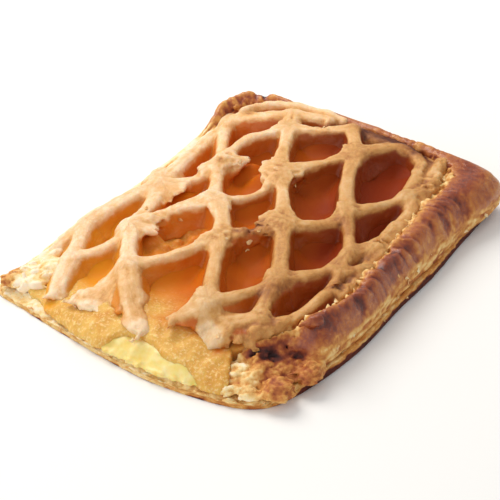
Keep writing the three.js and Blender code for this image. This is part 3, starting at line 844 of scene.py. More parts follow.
# Loose lumps of torn crumb that widen the border's torn corners: middle and radii
crumbLumps = [
    ((33.4, -58.8, 3.0), (5.6, 5.0, 4.0)),
    ((38.6, -57.0, 3.6), (3.6, 5.6, 4.0)),
    ((38.4, -63.0, 3.0), (6.6, 3.6, 2.6)),
    ((32.0, -65.0, 3.0), (5.0, 2.6, 1.7)),
    ((46.6, -58.4, 3.8), (5.2, 5.6, 3.8)),
    ((50.4, -48.0, 4.2), (3.4, 5.6, 3.6)),
    ((-46.2, -56.0, 3.6), (5.2, 4.0, 3.2)),
    ((-41.0, -53.6, 4.2), (5.6, 4.8, 3.0)),
    ((-39.0, -47.5, 5.6), (5.0, 6.5, 3.2)),
]


class BorderFrame:
    # places in plan as lengths along the border and depths in from its outer edge
    def __init__(self):
        rows = [[*o, *i, shoulder, crest, edge, at] for o, i, shoulder, crest, edge, at in borderSections]
        self.rail = spacedEvenly(curveThrough(rows, 2000), 200)
        outer, inner = self.rail[:, 0:2], self.rail[:, 2:4]
        self.middle = (outer + inner) / 2
        self.length = np.hypot(*np.diff(self.middle, axis=0).T).sum()
        self.share = np.linspace(0, 1, 40)
        shoulder, crest, edge, at = self.rail[:, 4:].T
        rows = []
        for k in range(len(self.rail)):
            depths = np.array([0, 0.12, 0.42 * at[k], 0.74 * at[k], at[k], (1 + at[k]) / 2, 1])
            rise = np.array([0, 0.3, 0.66, 0.93, 1])
            heights = [*(shoulder[k] + (crest[k] - shoulder[k]) * rise),
                (crest[k] + edge[k]) / 2, edge[k]]
            whole = np.interp(self.share, depths, heights)
            run = self.length * k / (len(self.rail) - 1)
            broken = smooth((border["cornerRun"] - run) / 8)
            rows.append(mix(whole, np.interp(self.share, *tornSlope), broken))
        table = np.array(rows)
        for _ in range(3):
            padded = np.pad(table, ((0, 0), (1, 1)), mode="edge")
            table = (padded[:, :-2] + padded[:, 1:-1] + padded[:, 2:]) / 3
        self.table = table

    def place(self, block):
        # for each place in plan: length along, depth in from the outer edge, how far beyond the
        # inner edge, height of the top and how far past a torn end
        x, y = block.plan()
        fromOuter, t, side = block.distances(self.rail[:, 0:2], border["reach"])
        depth = fromOuter * side
        fromInner, t, side = block.distances(self.rail[:, 2:4], border["reach"])
        beyond = fromInner * side
        share = clamp01(depth / np.maximum(depth - beyond, 1.0))
        fromMiddle, t, side = block.distances(self.middle, border["reach"])
        row = t * (len(self.table) - 1)
        k = np.clip(row.astype(int), 0, len(self.table) - 2)
        column = share * (len(self.share) - 1)
        j = np.clip(column.astype(int), 0, len(self.share) - 2)
        near = mix(self.table[k, j], self.table[k, j + 1], column - j)
        far = mix(self.table[k + 1, j], self.table[k + 1, j + 1], column - j)
        past = np.full(x.shape, -9.0)
        for end, before, here in ((0, 1, t < 0.02), (-1, -2, t > 0.98)):
            run = self.middle[end] - self.middle[before]
            run = run / np.hypot(*run)
            ahead = (x - self.middle[end, 0]) * run[0] + (y - self.middle[end, 1]) * run[1]
            past = np.where(here, ahead, past)
        return t * self.length, depth, beyond, mix(near, far, row - k), past


def borderFinish(points, s, depth, beyond, length):
    # how far each place is baked, from 0 for cream to 1 for burnt, how glossy it is, and the
    # relief that goes with it
    x, y, z = points.T
    share = clamp01(depth / np.maximum(depth - beyond, 1.0))
    flat = points * (1, 1, 3.0)
    broken = smooth((border["cornerRun"] - 3 - s + 3.0 * waves(points, 5.0, 14)) / 6)
    atBack = smooth((y - 52) / 6) * smooth((40 - x) / 8)
    backLeft = smooth((-28 - x) / 8) * smooth((y - 44) / 8)
    leftSide = smooth((-x - 30) / 12) * smooth((46 - y) / 8)
    (lineX, lineY), (runX, runY) = crumbLine
    pastLine = (x - lineX) * runX + (y - lineY) * runY
    pastLine += 1.6 * waves(points, 4.0, 15) + 0.9 * waves(points, 1.5, 16) - 0.4 * np.maximum(z - 4, 0)
    crumbRight = smooth((pastLine + 1.0) / 4.6) * smooth((11.6 - z) / 1.6)
    crumb = np.where(x > 0, crumbRight, smooth((s - length + 14) / 10))
    whole = (1 - broken) * (1 - crumb)

    # the glazed crown
    glazeEnd = border["glazeHeight"] + 3.0 * atBack
    crown = smooth((z - glazeEnd + 1.6 * waves(points, 5.0, 3) + 0.6 * waves(points, 1.6, 5)) / 2.6)
    lumps = roughness(points, border["lumpSize"], 2, 7)
    patchy = clamp01(0.55 + 1.1 * waves(points, 9.0, 23))
    across = np.stack([s + 0.25 * depth, 0.28 * depth, 0 * s], 1)
    across[:, 0] += 1.6 * waves(points, 6.0, 21)
    corner = smooth((y - 42) / 10) * smooth((x - 22) / 10)
    plain = 1 - 0.8 * corner
    wrinkles = creases(across, border["wrinkleSpacing"], 2, 40) * patchy * plain
    fine = waves(across * (1, 0.6, 1), border["fineSpacing"], 42) * plain
    sunk = np.zeros(len(points))
    for (hx, hy), reach in hollows:
        warped = np.hypot(x - hx, y - hy) / reach + 0.5 * waves(points, 2.6,
            61) + 0.25 * waves(points, 1.2, 62)
        sunk = np.maximum(sunk, np.exp(-(np.maximum(warped, 0) ** 2)))
    turned = smooth((share - 0.62 + 0.07 * waves(points, 3.0, 9)) / 0.2)
    lip = smooth((share - 0.72 + 0.10 * waves(points, 2.2, 10) + 0.04 * waves(points, 1.0, 11)) / 0.07)
    ridge = np.exp(-(((share - 0.42) / 0.17) ** 2))
    top = 0.55 + 0.14 * ridge + 0.17 * roughness(points, 12.0, 4, 18)
    top += 0.08 * sunk - 0.03 * wrinkles + 0.07 * corner
    top = mix(mix(top, 0.5, turned), 0.3 + 0.1 * waves(points, 1.6, 17), lip)
    behind = 0.6 + 0.07 * roughness(points, 5.0, 3, 19) - 0.04 * wrinkles
    behind = mix(behind, 0.5, smooth((share - 0.75) / 0.2))
    furrows = creases(np.stack([(x + y) / 2.4, (x - y) / 9.0, z / 4.0], 1), 1.0, 2, 98)
    golden = 0.5 - 0.12 * furrows + 0.12 * roughness(points, 3.0, 3, 24) + 0.4 * sunk
    top = mix(mix(top, behind, atBack), golden, backLeft)

    # its layered wall
    layers = np.sin(2 * np.pi * (z + 0.9 * waves(points, 6.0, 4)) / border["layerPitch"])
    plates = smooth(1.2 * waves(flat, 4.2, 45) + 0.6 * waves(flat, 1.9, 46) + 0.5) - 0.5
    wall = 0.38 + 0.1 * roughness(flat, 5.0, 3, 26) - 0.16 * plates + 0.03 * layers
    wall += 0.2 * smooth((4.6 - z) / 1.6)
    baked = mix(wall, top, crown)
    push = crown * (border["lump"] * lumps * mix(1.0, 0.45, atBack) - 1.0 * sunk)
    push += crown * (1 - 0.5 * atBack) * (border["wrinkle"] * wrinkles + border["fineWrinkle"] * fine)
    push += crown * lip * (0.6 * creases(points, 2.0, 2, 96) - 0.3) + 0.25 * crown * backLeft * furrows
    push += (1 - crown) * border["layerRelief"] * (0.35 * layers + 0.8 * plates)

    # the low left side, pale, with cracks along it
    pale = 0.08 + 0.1 * roughness(points, 5.0, 3, 28) + 0.12 * smooth((3.2 - depth) / 3) - 0.08 * plates
    push = mix(push, 0.32 * roughness(points, 3.4, 3, 12) + 0.2 * plates, leftSide)
    for at, seed in ((1.8, 51), (4.4, 52)):
        crack = np.exp(-(((depth - at + 1.1 * waves(points, 9.0, seed)) / 0.5) ** 2))
        crack = crack * smooth(2.5 * waves(points, 14.0, seed + 2) + 0.5)
        push -= leftSide * 0.9 * crack
        pale += 0.3 * crack
    baked = mix(baked, pale, leftSide)

    # the torn ends: a brown slope that crumbles, and pale crumb
    grit = 0.5 * creases(points, 3.6, 3, 91) + 0.35 * waves(points, 1.5, 92) + 0.3 * waves(points,
        0.9, 93)
    pit = np.zeros(len(points))
    ridgeX, ridgeY = ridgeRun
    for (hx, hy), reach in pits:
        ahead = ((x - hx) * ridgeX + (y - hy) * ridgeY) / 2.2
        aside = ((y - hy) * ridgeX - (x - hx) * ridgeY) / 0.8
        warped = np.hypot(ahead, aside) / reach + 0.5 * waves(points, 2.0, 63)
        pit = np.maximum(pit, np.exp(-(np.maximum(warped, 0) ** 2)))
    under = (share - border["groove"] + 0.05 * waves(points, 4.0, 66)) / 0.045
    groove = np.exp(-(under**2)) * smooth(0.75 + 0.8 * waves(points, 3.6, 67))
    slope = 0.48 - 0.12 * grit + 0.08 * roughness(points, 7.0, 2, 29) + 0.1 * waves(points, 1.0, 68)
    # painted shade: the pits and the hollow under the crest are darkened
    slope = mix(slope + 0.4 * pit + 0.03 * layers, 0.38, smooth((share - 0.87) / 0.05)) + 0.34 * groove
    toasted = smooth((-43.6 - x + waves(points, 3.0, 70)) / 3) * smooth((-51.5 - y) / 4)
    stained = spot(x, y, *stain)
    pores = smooth((waves(points, 1.3, 30) + 0.5 * waves(points, 0.8, 31) - 0.1) / 0.5)
    bare = np.where(x > 0, 0.16, 0.05) + 0.1 * pores + 0.12 * roughness(points, 3.0, 3, 32)
    bare = bare + (0.4 - 0.2 * grit) * toasted + 0.12 * stained
    strands = creases(np.stack([s / 4.0, depth / 1.3, z / 1.3], 1), 1.0, 3, 95)
    edge = border["crumble"] * (0.5 * grit + 0.45 * strands - 0.3) - 1.3 * pit - 1.4 * groove
    push = mix(push, edge, broken)
    # a crack across the crown, open enough to show pale dough
    d, t = planDistance(x, y, np.array(crownCrack))
    gape = np.exp(-((d / 0.5) ** 2)) * crown
    push -= 0.6 * gape
    baked = baked - 0.24 * gape
    strings = creases(np.stack([(x - y) / 1.6, (x + y) / 4.5, z / 2.4], 1), 1.0, 3, 94)
    push = mix(push, border["crumble"] * (0.3 * grit + 0.5 * strings - 0.3), crumb)
    bare = bare + 0.1 * (0.5 - strings) * (x > 0)
    baked = mix(mix(baked, slope, broken), bare, crumb)
    marks = {"baked": baked, "gloss": crown * whole * (1 - leftSide) * (1 - 0.8 * lip)}
    marks["flaky"] = clamp01(lip * crown + 0.5 * (1 - crown)) * whole * (1 - leftSide)
    return push, marks


def smoothMax(a, b, rounding):
    high = np.maximum(a, b)
    return high + rounding * np.log(np.exp((a - high) / rounding) + np.exp((b - high) / rounding))


def buildBorder():
    places = BorderFrame()
    block = Field((-54, -71.5, 2.0), (54, 69, 19.5), border["step"])
    x, y = block.plan()
    s, depth, beyond, top, past = places.place(block)
    # the torn end crumbles down towards the tear
    (lineX, lineY), (runX, runY) = crumbLine
    fallen = (x - lineX) * runX + (y - lineY) * runY
    top = top - border["tearFall"] * np.maximum(fallen - 0.5, 0) * (x > 0)
    z = block.axes[2][None, None, :]
    belly = 0.5 - 0.4 * np.sin(np.pi * clamp01((z - 3) / 9))
    values = smoothMax((z - top[:, :, None]) * heightShare, belly - depth[:, :, None], border["rounding"])
    values = smoothMax(values, (beyond + 0.3)[:, :, None] + 0 * z, border["rounding"])
    values = np.maximum(values, past[:, :, None])
    crest = curveThrough(tornCrest, 40)
    away, share, side = block.distances(crest, 5.0)
    rise = np.interp(share, np.linspace(0, 1, len(crest)), crest[:, 2])
    tube = np.sqrt(away[:, :, None] ** 2 + (0.8 * (z - rise[:, :, None])) ** 2) - crestRadius
    values = -smoothMax(-values, -tube, 0.3)
    flat = block.flat()
    uneven = 1 + 0.3 * roughness(flat, 4.5, 3, 69).reshape(x.shape)
    for (cx, cy, cz), (rx, ry, rz) in crumbLumps:
        plan = ((x - cx) / rx) ** 2 + ((y - cy) / ry) ** 2
        reach = (plan * uneven)[:, :, None] + ((z - cz) / rz) ** 2
        values = -smoothMax(-values, -(np.sqrt(reach) - 1) * min(rx, ry, rz), 0.5)
    values = np.maximum(values, (bottomTop(y) - pie["sunk"])[:, :, None] - z)
    near, points = block.around(values, 2.4)
    spread = [np.broadcast_to(a[:, :, None], block.shape)[near] for a in (s, depth, beyond)]
    push, marks = borderFinish(points, *spread, places.length)
    values[near] -= push
    values = np.maximum(values, (bottomTop(y) - pie["sunk"])[:, :, None] - z)
    points, faces = block.mesh(values)
    s, depth, beyond = (block.read(a, *points.T[:2]) for a in (s, depth, beyond))
    push, marks = borderFinish(points, s, depth, beyond, places.length)
    # painted highlight on ridges and painted shade in hollows
    raised = ridgeHeights(points, faces, vertexNormals(points, faces), 8)
    crumbling = smooth((border["cornerRun"] - s) / 6) * (points[:, 0] > 0)
    contrast = border["contrast"] * mix(1.0, 0.5, crumbling)
    marks["baked"] = marks["baked"] - contrast * np.tanh(raised / border["ridge"])
    return makePiece("glazedBorder", points, faces, marks)


# Bottom sheet

sheetOutline = [
    (-51.4, -58),
    (-38, -62.4),
    (-20, -66),
    (0, -69.4),
    (14, -70.5),
    (28, -69.6),
    (40, -67),
    (46.8, -61.4),
    (50.4, -50),
    (52.2, -36),
    (52.6, -22),
    (51.2, -3),
    (50.6, 18),
    (48.8, 36),
    (47.4, 52),
    (46.6, 60.6),
    (42, 64.8),
    (28, 65.4),
    (0, 65.6),
    (-32, 65.4),
    (-43.5, 63.6),
    (-48.6, 57),
    (-49.8, 34),
    (-50, -12),
    (-50.8, -40),
]
sheet = {
    "around": 900,  # points around its edge
    "charred": (2.3, 0.3),  # height that its wall is burnt to, usually and at the tear
    "layerPitch": 0.9,  # between the baked layers of its edge
    "layerRelief": 0.4,
    "tornEdge": 0.3,  # share of its height that it loses along the tear
    "crumble": 0.55,
}


def buildSheet():
    edge = spacedEvenly(curveThrough(sheetOutline, 2400, True), sheet["around"], True)
    after = np.roll(edge, -1, 0) - np.roll(edge, 1, 0)
    after /= np.linalg.norm(after, axis=1)[:, None]
    inward = np.stack([-after[:, 1], after[:, 0]], 1)
    rings = []

    def ring(inset, share, shrink=1.0):
        x, y = (edge + inward * inset).T * shrink
        worn = sheet["tornEdge"] * smooth((-50 - y) / 8) * math.exp(-inset / 1.8) * (shrink == 1)
        rings.append(np.stack([x, y, share * bottomTop(y) * (1 - worn)], 1))

    for shrink in (0.15, 0.45, 0.7, 0.85, 0.93):
        ring(3, 0, shrink)
    for inset in (3, 2.2, 1.5, 0.9):
        ring(inset, 0)
    for k in range(15):
        share = (k + 0.5) / 15
        ring(0.45 * (2 * share - 1) ** 6, share)
    for inset in (0.5, 1.0, 1.5, 2.1, 2.8, 3.5, 4.2, 5.0, 6.0, 7.0):
        ring(inset, 1)
    for shrink in (0.9, 0.75):
        ring(6, 0.97, shrink)
    count = len(edge)
    points = np.vstack(rings)
    faces = outwards(points, loftFaces(len(rings), count))
    normals = vertexNormals(points, faces)
    z = points[:, 2]
    top = bottomTop(points[:, 1])
    torn = smooth((-48 - points[:, 1]) / 10)
    layers = np.sin(2 * np.pi * (z + 0.5 * waves(points, 6.0, 2)) / sheet["layerPitch"])
    rim = smooth(z / 0.6) * (1 - 0.8 * smooth((z / top - 0.85) / 0.15))
    grit = 0.6 * creases(points, 2.6, 3, 6) + 0.4 * waves(points, 1.1, 8)
    push = rim * (sheet["layerRelief"] * (0.5 - 0.4 * torn) * layers + (0.25 + 0.3 * torn) * grit - 0.25)
    above = smooth((z / top - 0.6) / 0.15)
    push += above * (0.15 + sheet["crumble"] * torn) * (0.5 * roughness(points, 2.4, 3, 14) + 0.4 * grit)
    points = points + normals * push[:, None]
    points[:, 2] = np.maximum(points[:, 2], 0)
    lip = torn * smooth((z / top - 0.5) / 0.15)
    baked = 0.36 + 0.1 * roughness(points * (1, 1, 3), 5.0, 3, 9) + 0.05 * layers
    toRight = smooth((points[:, 0] - 12) / 14)
    baked = mix(baked, 0.2 + 0.14 * toRight - 0.1 * grit - 0.1 * lip, torn)
    charred = smooth((mix(*sheet["charred"], torn) + 0.4 * waves(points, 2.6, 13) - z) / 0.5)
    baked = mix(baked, 0.85, charred)
    poles = np.array([[*points[:count, :2].mean(0), 0], [*points[-count:, :2].mean(0), 3.0]])
    points = np.vstack([points, poles])
    k = np.arange(count)
    start = (len(rings) - 1) * count
    flip = not np.array_equal(faces[0], loftFaces(2, count)[0])
    fanA = np.stack([np.full(count, len(points) - 2), (k + 1) % count, k], 1)
    fanB = np.stack([np.full(count, len(points) - 1), start + k, start + (k + 1) % count], 1)
    if flip:
        fanA, fanB = fanA[:, ::-1], fanB[:, ::-1]
    marks = {"baked": np.append(baked, [0.85, 0.4]), "flaky": np.append(0.5 * lip + 0.12 * rim, [0, 0])}
    return makePiece("bottomSheet", points, faces.tolist() + fanA.tolist() + fanB.tolist(), marks)


# Apple filling

apple = {
    "step": 0.62,
    "sag": 1.4,  # how far the jelly has sunk since it was baked
    "meniscus": 4.3,  # how far it climbs the strands
    "meniscusReach": 4.4,  # from a strand's middle
    "dice": 0.5,  # relief of the diced apple under the torn flesh
    "chunks": 2.0,  # relief of the diced apple that shows in one hole
    "tear": 0.95,  # roughness of the torn flesh
}
# Hollows by the torn corners where clear jelly shows: place in plan and reach
pockets = [((-30.2, -60.4), 2.2), ((26.4, -57.4), 2.0)]
# Place between two torn tongues where the flesh lies bare, and its reach to the side and along
opened = ((1.0, -51.5), (6.5, 7.0))
# Hole between the strands where diced apple shows through the jelly
dicedHole = ((-17.0, -18.0), (8.0, 9.0))


def openingPath():
    rows = [[*inner, edge] for outer, inner, shoulder, crest, edge, at in borderSections]
    return curveThrough(rows, 220)


def buildApple(ribbons):
    block = Field((-46, -71, 1.6), (47, 63, 17.5), apple["step"])
    x, y = block.plan()
    nearest = np.full(x.shape, 1e9)
    for path, halves, depths, torn in ribbons:
        d, t = planDistance(x, y, path)
        nearest = np.minimum(nearest, d)
    inside = openingPath()
    fromWall, along = planDistance(x, y, inside)
    ring = np.vstack([inside[:, :2], [inside[-1, 0], -90], [inside[0, 0] + 21, -90]])
    enclosed = insideOutline(x, y, ring)
    wall = np.where(enclosed, -fromWall, fromWall) - 0.6
    flat = block.flat()
    fall = slump(x, y)
    torn = smooth(fall * 1.6)
    top = fillingTop(x, y)
    climb = apple["meniscus"] * np.exp(-((nearest / apple["meniscusReach"]) ** 2))
    top = top + (climb - apple["sag"]) * (1 - torn)
    top = top + 0.35 * roughness(flat, 11.0, 2, 61).reshape(x.shape)
    top = top + apple["dice"] * torn * roughness(flat, 6.0, 2, 62).reshape(x.shape)
    diced = spot(x, y, *dicedHole)
    top = top + apple["chunks"] * diced * creases(flat, 5.5, 2, 65).reshape(x.shape)
    foot = (tearFootY(x) + fleshBack(x) - y) * 0.8
    z = block.axes[2][None, None, :]
    values = (z - top[:, :, None]) * heightShare
    values = np.maximum(values, wall[:, :, None])
    values = np.maximum(values, foot[:, :, None])
    near, places = block.around(values, 1.8)
    tornNear = np.broadcast_to(torn[:, :, None], block.shape)[near]
    rough = 0.6 * creases(places, 5.0, 3, 63) + 0.4 * roughness(places, 1.6, 2, 64)
    values[near] += tornNear * apple["tear"] * 0.6 * rough
    under = (bottomTop(y) - 0.4)[:, :, None] - z
    values = np.maximum(values, under)
    points, faces = block.mesh(values)
    px, py = points[:, 0], points[:, 1]
    bare = smooth((slump(px, py) - 0.18) * 2.2)
    for middle, reach in pockets:
        bare = bare * (1 - spot(px, py, middle, reach))
    diced = spot(px, py, *dicedHole)
    gap = spot(px, py, *opened)
    marks = {"torn": np.maximum(np.maximum(bare, 0.45 * diced), 0.9 * gap)}
    return makePiece("appleJelly", points, faces, marks)


def insideOutline(x, y, ring):
    odd = np.zeros(x.shape, bool)
    for k in range(len(ring)):
        ax, ay = ring[k]
        bx, by = ring[(k + 1) % len(ring)]
        crosses = (ay > y) != (by > y)
        with np.errstate(divide="ignore", invalid="ignore"):
            at = ax + (y - ay) * (bx - ax) / (by - ay + 1e-12)
        odd ^= crosses & (x < at)
    return odd


# Custard

custard = {
    "centre": (6, -12),  # of its bed in plan
    "half": (18.5, 80),  # half width and length of that bed
    "depth": 4.3,  # of the bed under the apple
    "toe": (0.8, 4.4),  # heights of the strip along the tear, at its edge and behind
    "back": 52,  # it ends there under the apple
    "creases": 0.32,  # relief of its spread surface
    "step": 0.6,
}


def buildCustard():
    block = Field((-14, -71, 1.6), (32, 54, 10.5), custard["step"])
    x, y = block.plan()
    u = (x - custard["centre"][0]) / custard["half"][0]
    v = (y - custard["centre"][1]) / custard["half"][1]
    top = bottomTop(y) + 0.3 + custard["depth"] * np.sqrt(clamp01(1 - u * u - v * v))
    top = np.where(u * u + v * v > 1, 0, top)
    fromTear = y - tearFootY(x)
    back = fleshBack(x)
    top = np.where(fromTear > back + 1, top, 0)
    low, high = custard["toe"]
    toe = bottomTop(y) - 0.3 + custardBare(x) * (low + (high - low) * smooth(fromTear / (back + 0.5)) + 0.3)
    top = np.maximum(top, np.where(fromTear < back + 3, toe, 0))
    face = np.minimum(top, fillingTop(x, y) + 0.45)
    flat = block.flat()
    face = face + 0.5 * roughness(flat, 5.0, 4, 71).reshape(x.shape)
    z = block.axes[2][None, None, :]
    values = (z - face[:, :, None]) * heightShare
    values = np.maximum(values, ((tearFootY(x) - 0.2 - y) * 0.8)[:, :, None])
    values = np.maximum(values, (y - custard["back"])[:, :, None])
    near, places = block.around(values, 1.8)
    values[near] += custard["creases"] * creases(places, 3.0, 3, 72)
    values = np.maximum(values, (bottomTop(y) - 0.2)[:, :, None] - z)
    points, faces = block.mesh(values)
    return makePiece("custardCream", points, faces)


# Materials


def linear(hexColour):
    channels = [int(hexColour[k : k + 2], 16) / 255 for k in (1, 3, 5)]
    return tuple([c / 12.92 if c <= 0.04045 else ((c + 0.055) / 1.055) ** 2.4 for c in channels] + [1.0])


def setInputs(node, inputs):
    # each input is a value or another node's output
    for name, value in inputs.items():
        if isinstance(value, bpy.types.NodeSocket):
            node.id_data.links.new(value, node.inputs[name])
        else:
            node.inputs[name].default_value = value


def addNode(tree, kind, settings=None, inputs=None):
    # the one way that nodes are made: each maker binds it to its own tree
    node = tree.nodes.new(kind)
    for name, value in (settings or {}).items():
        setattr(node, name, value)
    setInputs(node, inputs or {})
    return node


def newMaterial(name):
    material = bpy.data.materials.new(name)
    material.use_nodes = True
    shader = material.node_tree.nodes["Principled BSDF"]
    return material, functools.partial(addNode, material.node_tree), shader


def perMetre(size):
    # a noise texture's scale for bumps about size millimetres across
    return 1000.0 / size


jellyColours = {"amber": "#E49C22", "orange": "#CC680E", "brick": "#8A300C"}


def jellyColour(add, coords):
    # the jelly's colour by place: amber on the left, brick red towards the back right, partly its own
    # redder colour and partly painted shade away from the key light at the left
    c = {name: linear(value) for name, value in jellyColours.items()}
    place = add("ShaderNodeSeparateXYZ", {}, {"Vector": coords})
    slant = add(
        "ShaderNodeMath",
        {"operation": "MULTIPLY_ADD"},
        {0: place.outputs["Y"], 1: 0.5, 2: place.outputs["X"]},
    ).outputs[0]
    drift = add(
        "ShaderNodeTexNoise", {}, {"Vector": coords, "Scale": perMetre(14), "Detail": 2.0}
    ).outputs["Fac"]
    slant = add("ShaderNodeMath", {"operation": "MULTIPLY_ADD"}, {0: drift, 1: 0.03, 2: slant}).outputs[0]
    ramp = add(
        "ShaderNodeValToRGB",
        {},
        {
            "Fac": add(
                "ShaderNodeMapRange", {}, {"Value": slant, "From Min": -0.045, "From Max": 0.044}
            ).outputs[0]
        },
    )
    ramp.color_ramp.elements[0].color = c["amber"]
    ramp.color_ramp.elements[1].color = c["brick"]
    ramp.color_ramp.elements.new(0.5).color = c["orange"]
    return ramp.outputs[0]


def bakingRamp(add, colours, amount):
    # pastry's colour from raw cream, through gold, to burnt
    ramp = add("ShaderNodeValToRGB", {}, {"Fac": amount})
    for at, colour in colours:
        ramp.color_ramp.elements.new(at).color = linear(colour)
    for spare in (ramp.color_ramp.elements[-1], ramp.color_ramp.elements[0]):
        ramp.color_ramp.elements.remove(spare)
    return ramp.outputs[0]


doughColours = [
    (0.02, "#F7DAB6"),
    (0.2, "#EDC28E"),
    (0.4, "#E0AA68"),
    (0.6, "#C08246"),
    (0.8, "#90562E"),
    (0.98, "#5E2C1A"),
]


def doughMaterial():
    # Slit puff pastry, baked soft: satin cream tops with golden fibres along each strand, and
    # flanks that the jelly has soaked to its own orange. Painted shade dims and greys it towards the right.
    material, add, shader = newMaterial("bakedLatticeDough")
    coords = add("ShaderNodeTexCoord").outputs["Object"]
    baked = add("ShaderNodeAttribute", {"attribute_name": "baked"}).outputs["Fac"]
    soak = add("ShaderNodeAttribute", {"attribute_name": "soak"}).outputs["Fac"]
    fibre = add("ShaderNodeAttribute", {"attribute_name": "fibre"}).outputs["Vector"]
    fibre = add(
        "ShaderNodeVectorMath", {"operation": "MULTIPLY"}, {0: fibre, 1: (0.45, 1.4, 1.0)}
    ).outputs[0]
    fibres = add(
        "ShaderNodeTexNoise",
        {},
        {"Vector": fibre, "Scale": 1.0, "Detail": 5.0, "Roughness": 0.62, "Distortion": 0.5},
    ).outputs["Fac"]
    fine = add(
        "ShaderNodeTexNoise",
        {},
        {"Vector": coords, "Scale": perMetre(2.4), "Detail": 6.0, "Roughness": 0.68, "Distortion": 0.8},
    ).outputs["Fac"]
    grain = add("ShaderNodeMath", {"operation": "MULTIPLY_ADD"}, {0: fibres, 1: 0.7, 2: fine}).outputs[0]
    mottle = add(
        "ShaderNodeMapRange",
        {"clamp": False},
        {"Value": grain, "From Min": 0.0, "From Max": 1.7, "To Min": -0.42, "To Max": 0.42},
    ).outputs[0]
    amount = add("ShaderNodeMath", {"operation": "ADD"}, {0: baked, 1: mottle}).outputs[0]
    dry = bakingRamp(add, doughColours, amount)
    # painted shade: the dough is dimmed and greyed towards the right, away from the key light at the left
    place = add("ShaderNodeSeparateXYZ", {}, {"Vector": coords}).outputs["X"]
    toRight = add(
        "ShaderNodeMapRange",
        {"interpolation_type": "SMOOTHSTEP"},
        {"Value": place, "From Min": -0.024, "From Max": 0.03},
    ).outputs[0]
    dry = add(
        "ShaderNodeMix",
        {"data_type": "RGBA", "blend_type": "MULTIPLY"},
        {0: toRight, 6: dry, 7: linear("#EBE5D6")},
    ).outputs[2]
    wetness = add("ShaderNodeMath", {"operation": "MULTIPLY_ADD"},
        {0: mottle, 1: 1.2, 2: soak}).outputs[0]
    wetShare = add(
        "ShaderNodeMapRange",
        {"interpolation_type": "SMOOTHSTEP"},
        {"Value": wetness, "From Min": 0.1, "From Max": 0.95, "To Max": 0.92},
    ).outputs[0]
    colour = add(
        "ShaderNodeMix", {"data_type": "RGBA"}, {0: wetShare, 6: dry, 7: jellyColour(add, coords)}
    ).outputs[2]
    rough = add("ShaderNodeMapRange", {}, {"Value": wetShare, "To Min": 0.5, "To Max": 0.3}).outputs[0]
    bump = add(
        "ShaderNodeBump", {}, {"Height": grain, "Strength": 0.6, "Distance": 0.00045}
    ).outputs["Normal"]
    finish = {
        "Base Color": colour,
        "Roughness": rough,
        "Normal": bump,
        "Specular IOR Level": 0.3,
        "Subsurface Weight": 0.3,
        "Subsurface Radius": (1.0, 0.5, 0.2),
        "Subsurface Scale": 0.002,
    }
    setInputs(shader, finish)
    return material


bakingColours = [
    (0.02, "#FCE9CC"),
    (0.1, "#F8DFAC"),
    (0.2, "#F0CB86"),
    (0.36, "#D89A4C"),
    (0.52, "#B4682E"),
    (0.66, "#904220"),
    (0.8, "#64281A"),
    (0.98, "#2C0E0C"),
]


def glazedCrustMaterial():
    # Puff pastry brushed with egg: a wrinkled brown skin with a soft gloss, darkest in its
    # hollows where painted shade is added, over a matt side of pale and golden layers.
    material, add, shader = newMaterial("eggWashedCrust")
    coords = add("ShaderNodeTexCoord").outputs["Object"]
    baked = add("ShaderNodeAttribute", {"attribute_name": "baked"}).outputs["Fac"]
    gloss = add("ShaderNodeAttribute", {"attribute_name": "gloss"}).outputs["Fac"]
    fine = add(
        "ShaderNodeTexNoise",
        {},
        {"Vector": coords, "Scale": perMetre(1.6), "Detail": 6.0, "Roughness": 0.65, "Distortion": 0.9},
    ).outputs["Fac"]
    mottle = add(
        "ShaderNodeMapRange", {"clamp": False}, {"Value": fine, "To Min": -0.24, "To Max": 0.24}
    ).outputs[0]
    amount = add("ShaderNodeMath", {"operation": "ADD"}, {0: baked, 1: mottle}).outputs[0]
    rough = add("ShaderNodeMapRange", {}, {"Value": gloss, "To Min": 0.66, "To Max": 0.28}).outputs[0]
    rough = add("ShaderNodeMath", {"operation": "MULTIPLY_ADD"}, {0: mottle, 1: 0.5, 2: rough}).outputs[0]
    bump = add(
        "ShaderNodeBump", {}, {"Height": fine, "Strength": 0.6, "Distance": 0.0004}
    ).outputs["Normal"]
    finish = {
        "Base Color": bakingRamp(add, bakingColours, amount),
        "Roughness": rough,
        "Normal": bump,
        "Specular IOR Level": 0.42,
        "Subsurface Weight": 0.1,
        "Subsurface Radius": (1.0, 0.5, 0.25),
        "Subsurface Scale": 0.0015,
    }
    setInputs(shader, finish)
    return material


def sheetMaterial():
    # Bottom sheet of puff pastry: golden layers at its edge, pale crumb where it is torn, and
    # an underside browned almost black-red against the hot tray.
    material, add, shader = newMaterial("layeredBottomPastry")
    coords = add("ShaderNodeTexCoord").outputs["Object"]
    baked = add("ShaderNodeAttribute", {"attribute_name": "baked"}).outputs["Fac"]
    stretched = add("ShaderNodeMapping", {},
        {"Vector": coords, "Scale": (1.0, 1.0, 3.0)}).outputs["Vector"]
    fine = add(
        "ShaderNodeTexNoise",
        {},
        {"Vector": stretched, "Scale": perMetre(2.4), "Detail": 6.0, "Roughness": 0.7, "Distortion": 0.6},
    ).outputs["Fac"]
    mottle = add(
        "ShaderNodeMapRange", {"clamp": False}, {"Value": fine, "To Min": -0.4, "To Max": 0.4}
    ).outputs[0]
    amount = add("ShaderNodeMath", {"operation": "ADD"}, {0: baked, 1: mottle}).outputs[0]
    bump = add(
        "ShaderNodeBump", {}, {"Height": fine, "Strength": 0.7, "Distance": 0.0006}
    ).outputs["Normal"]
    finish = {
        "Base Color": bakingRamp(add, bakingColours, amount),
        "Normal": bump,
        "Roughness": 0.68,
        "Specular IOR Level": 0.3,
        "Subsurface Weight": 0.12,
        "Subsurface Scale": 0.0015,
    }
    setInputs(shader, finish)
    return material


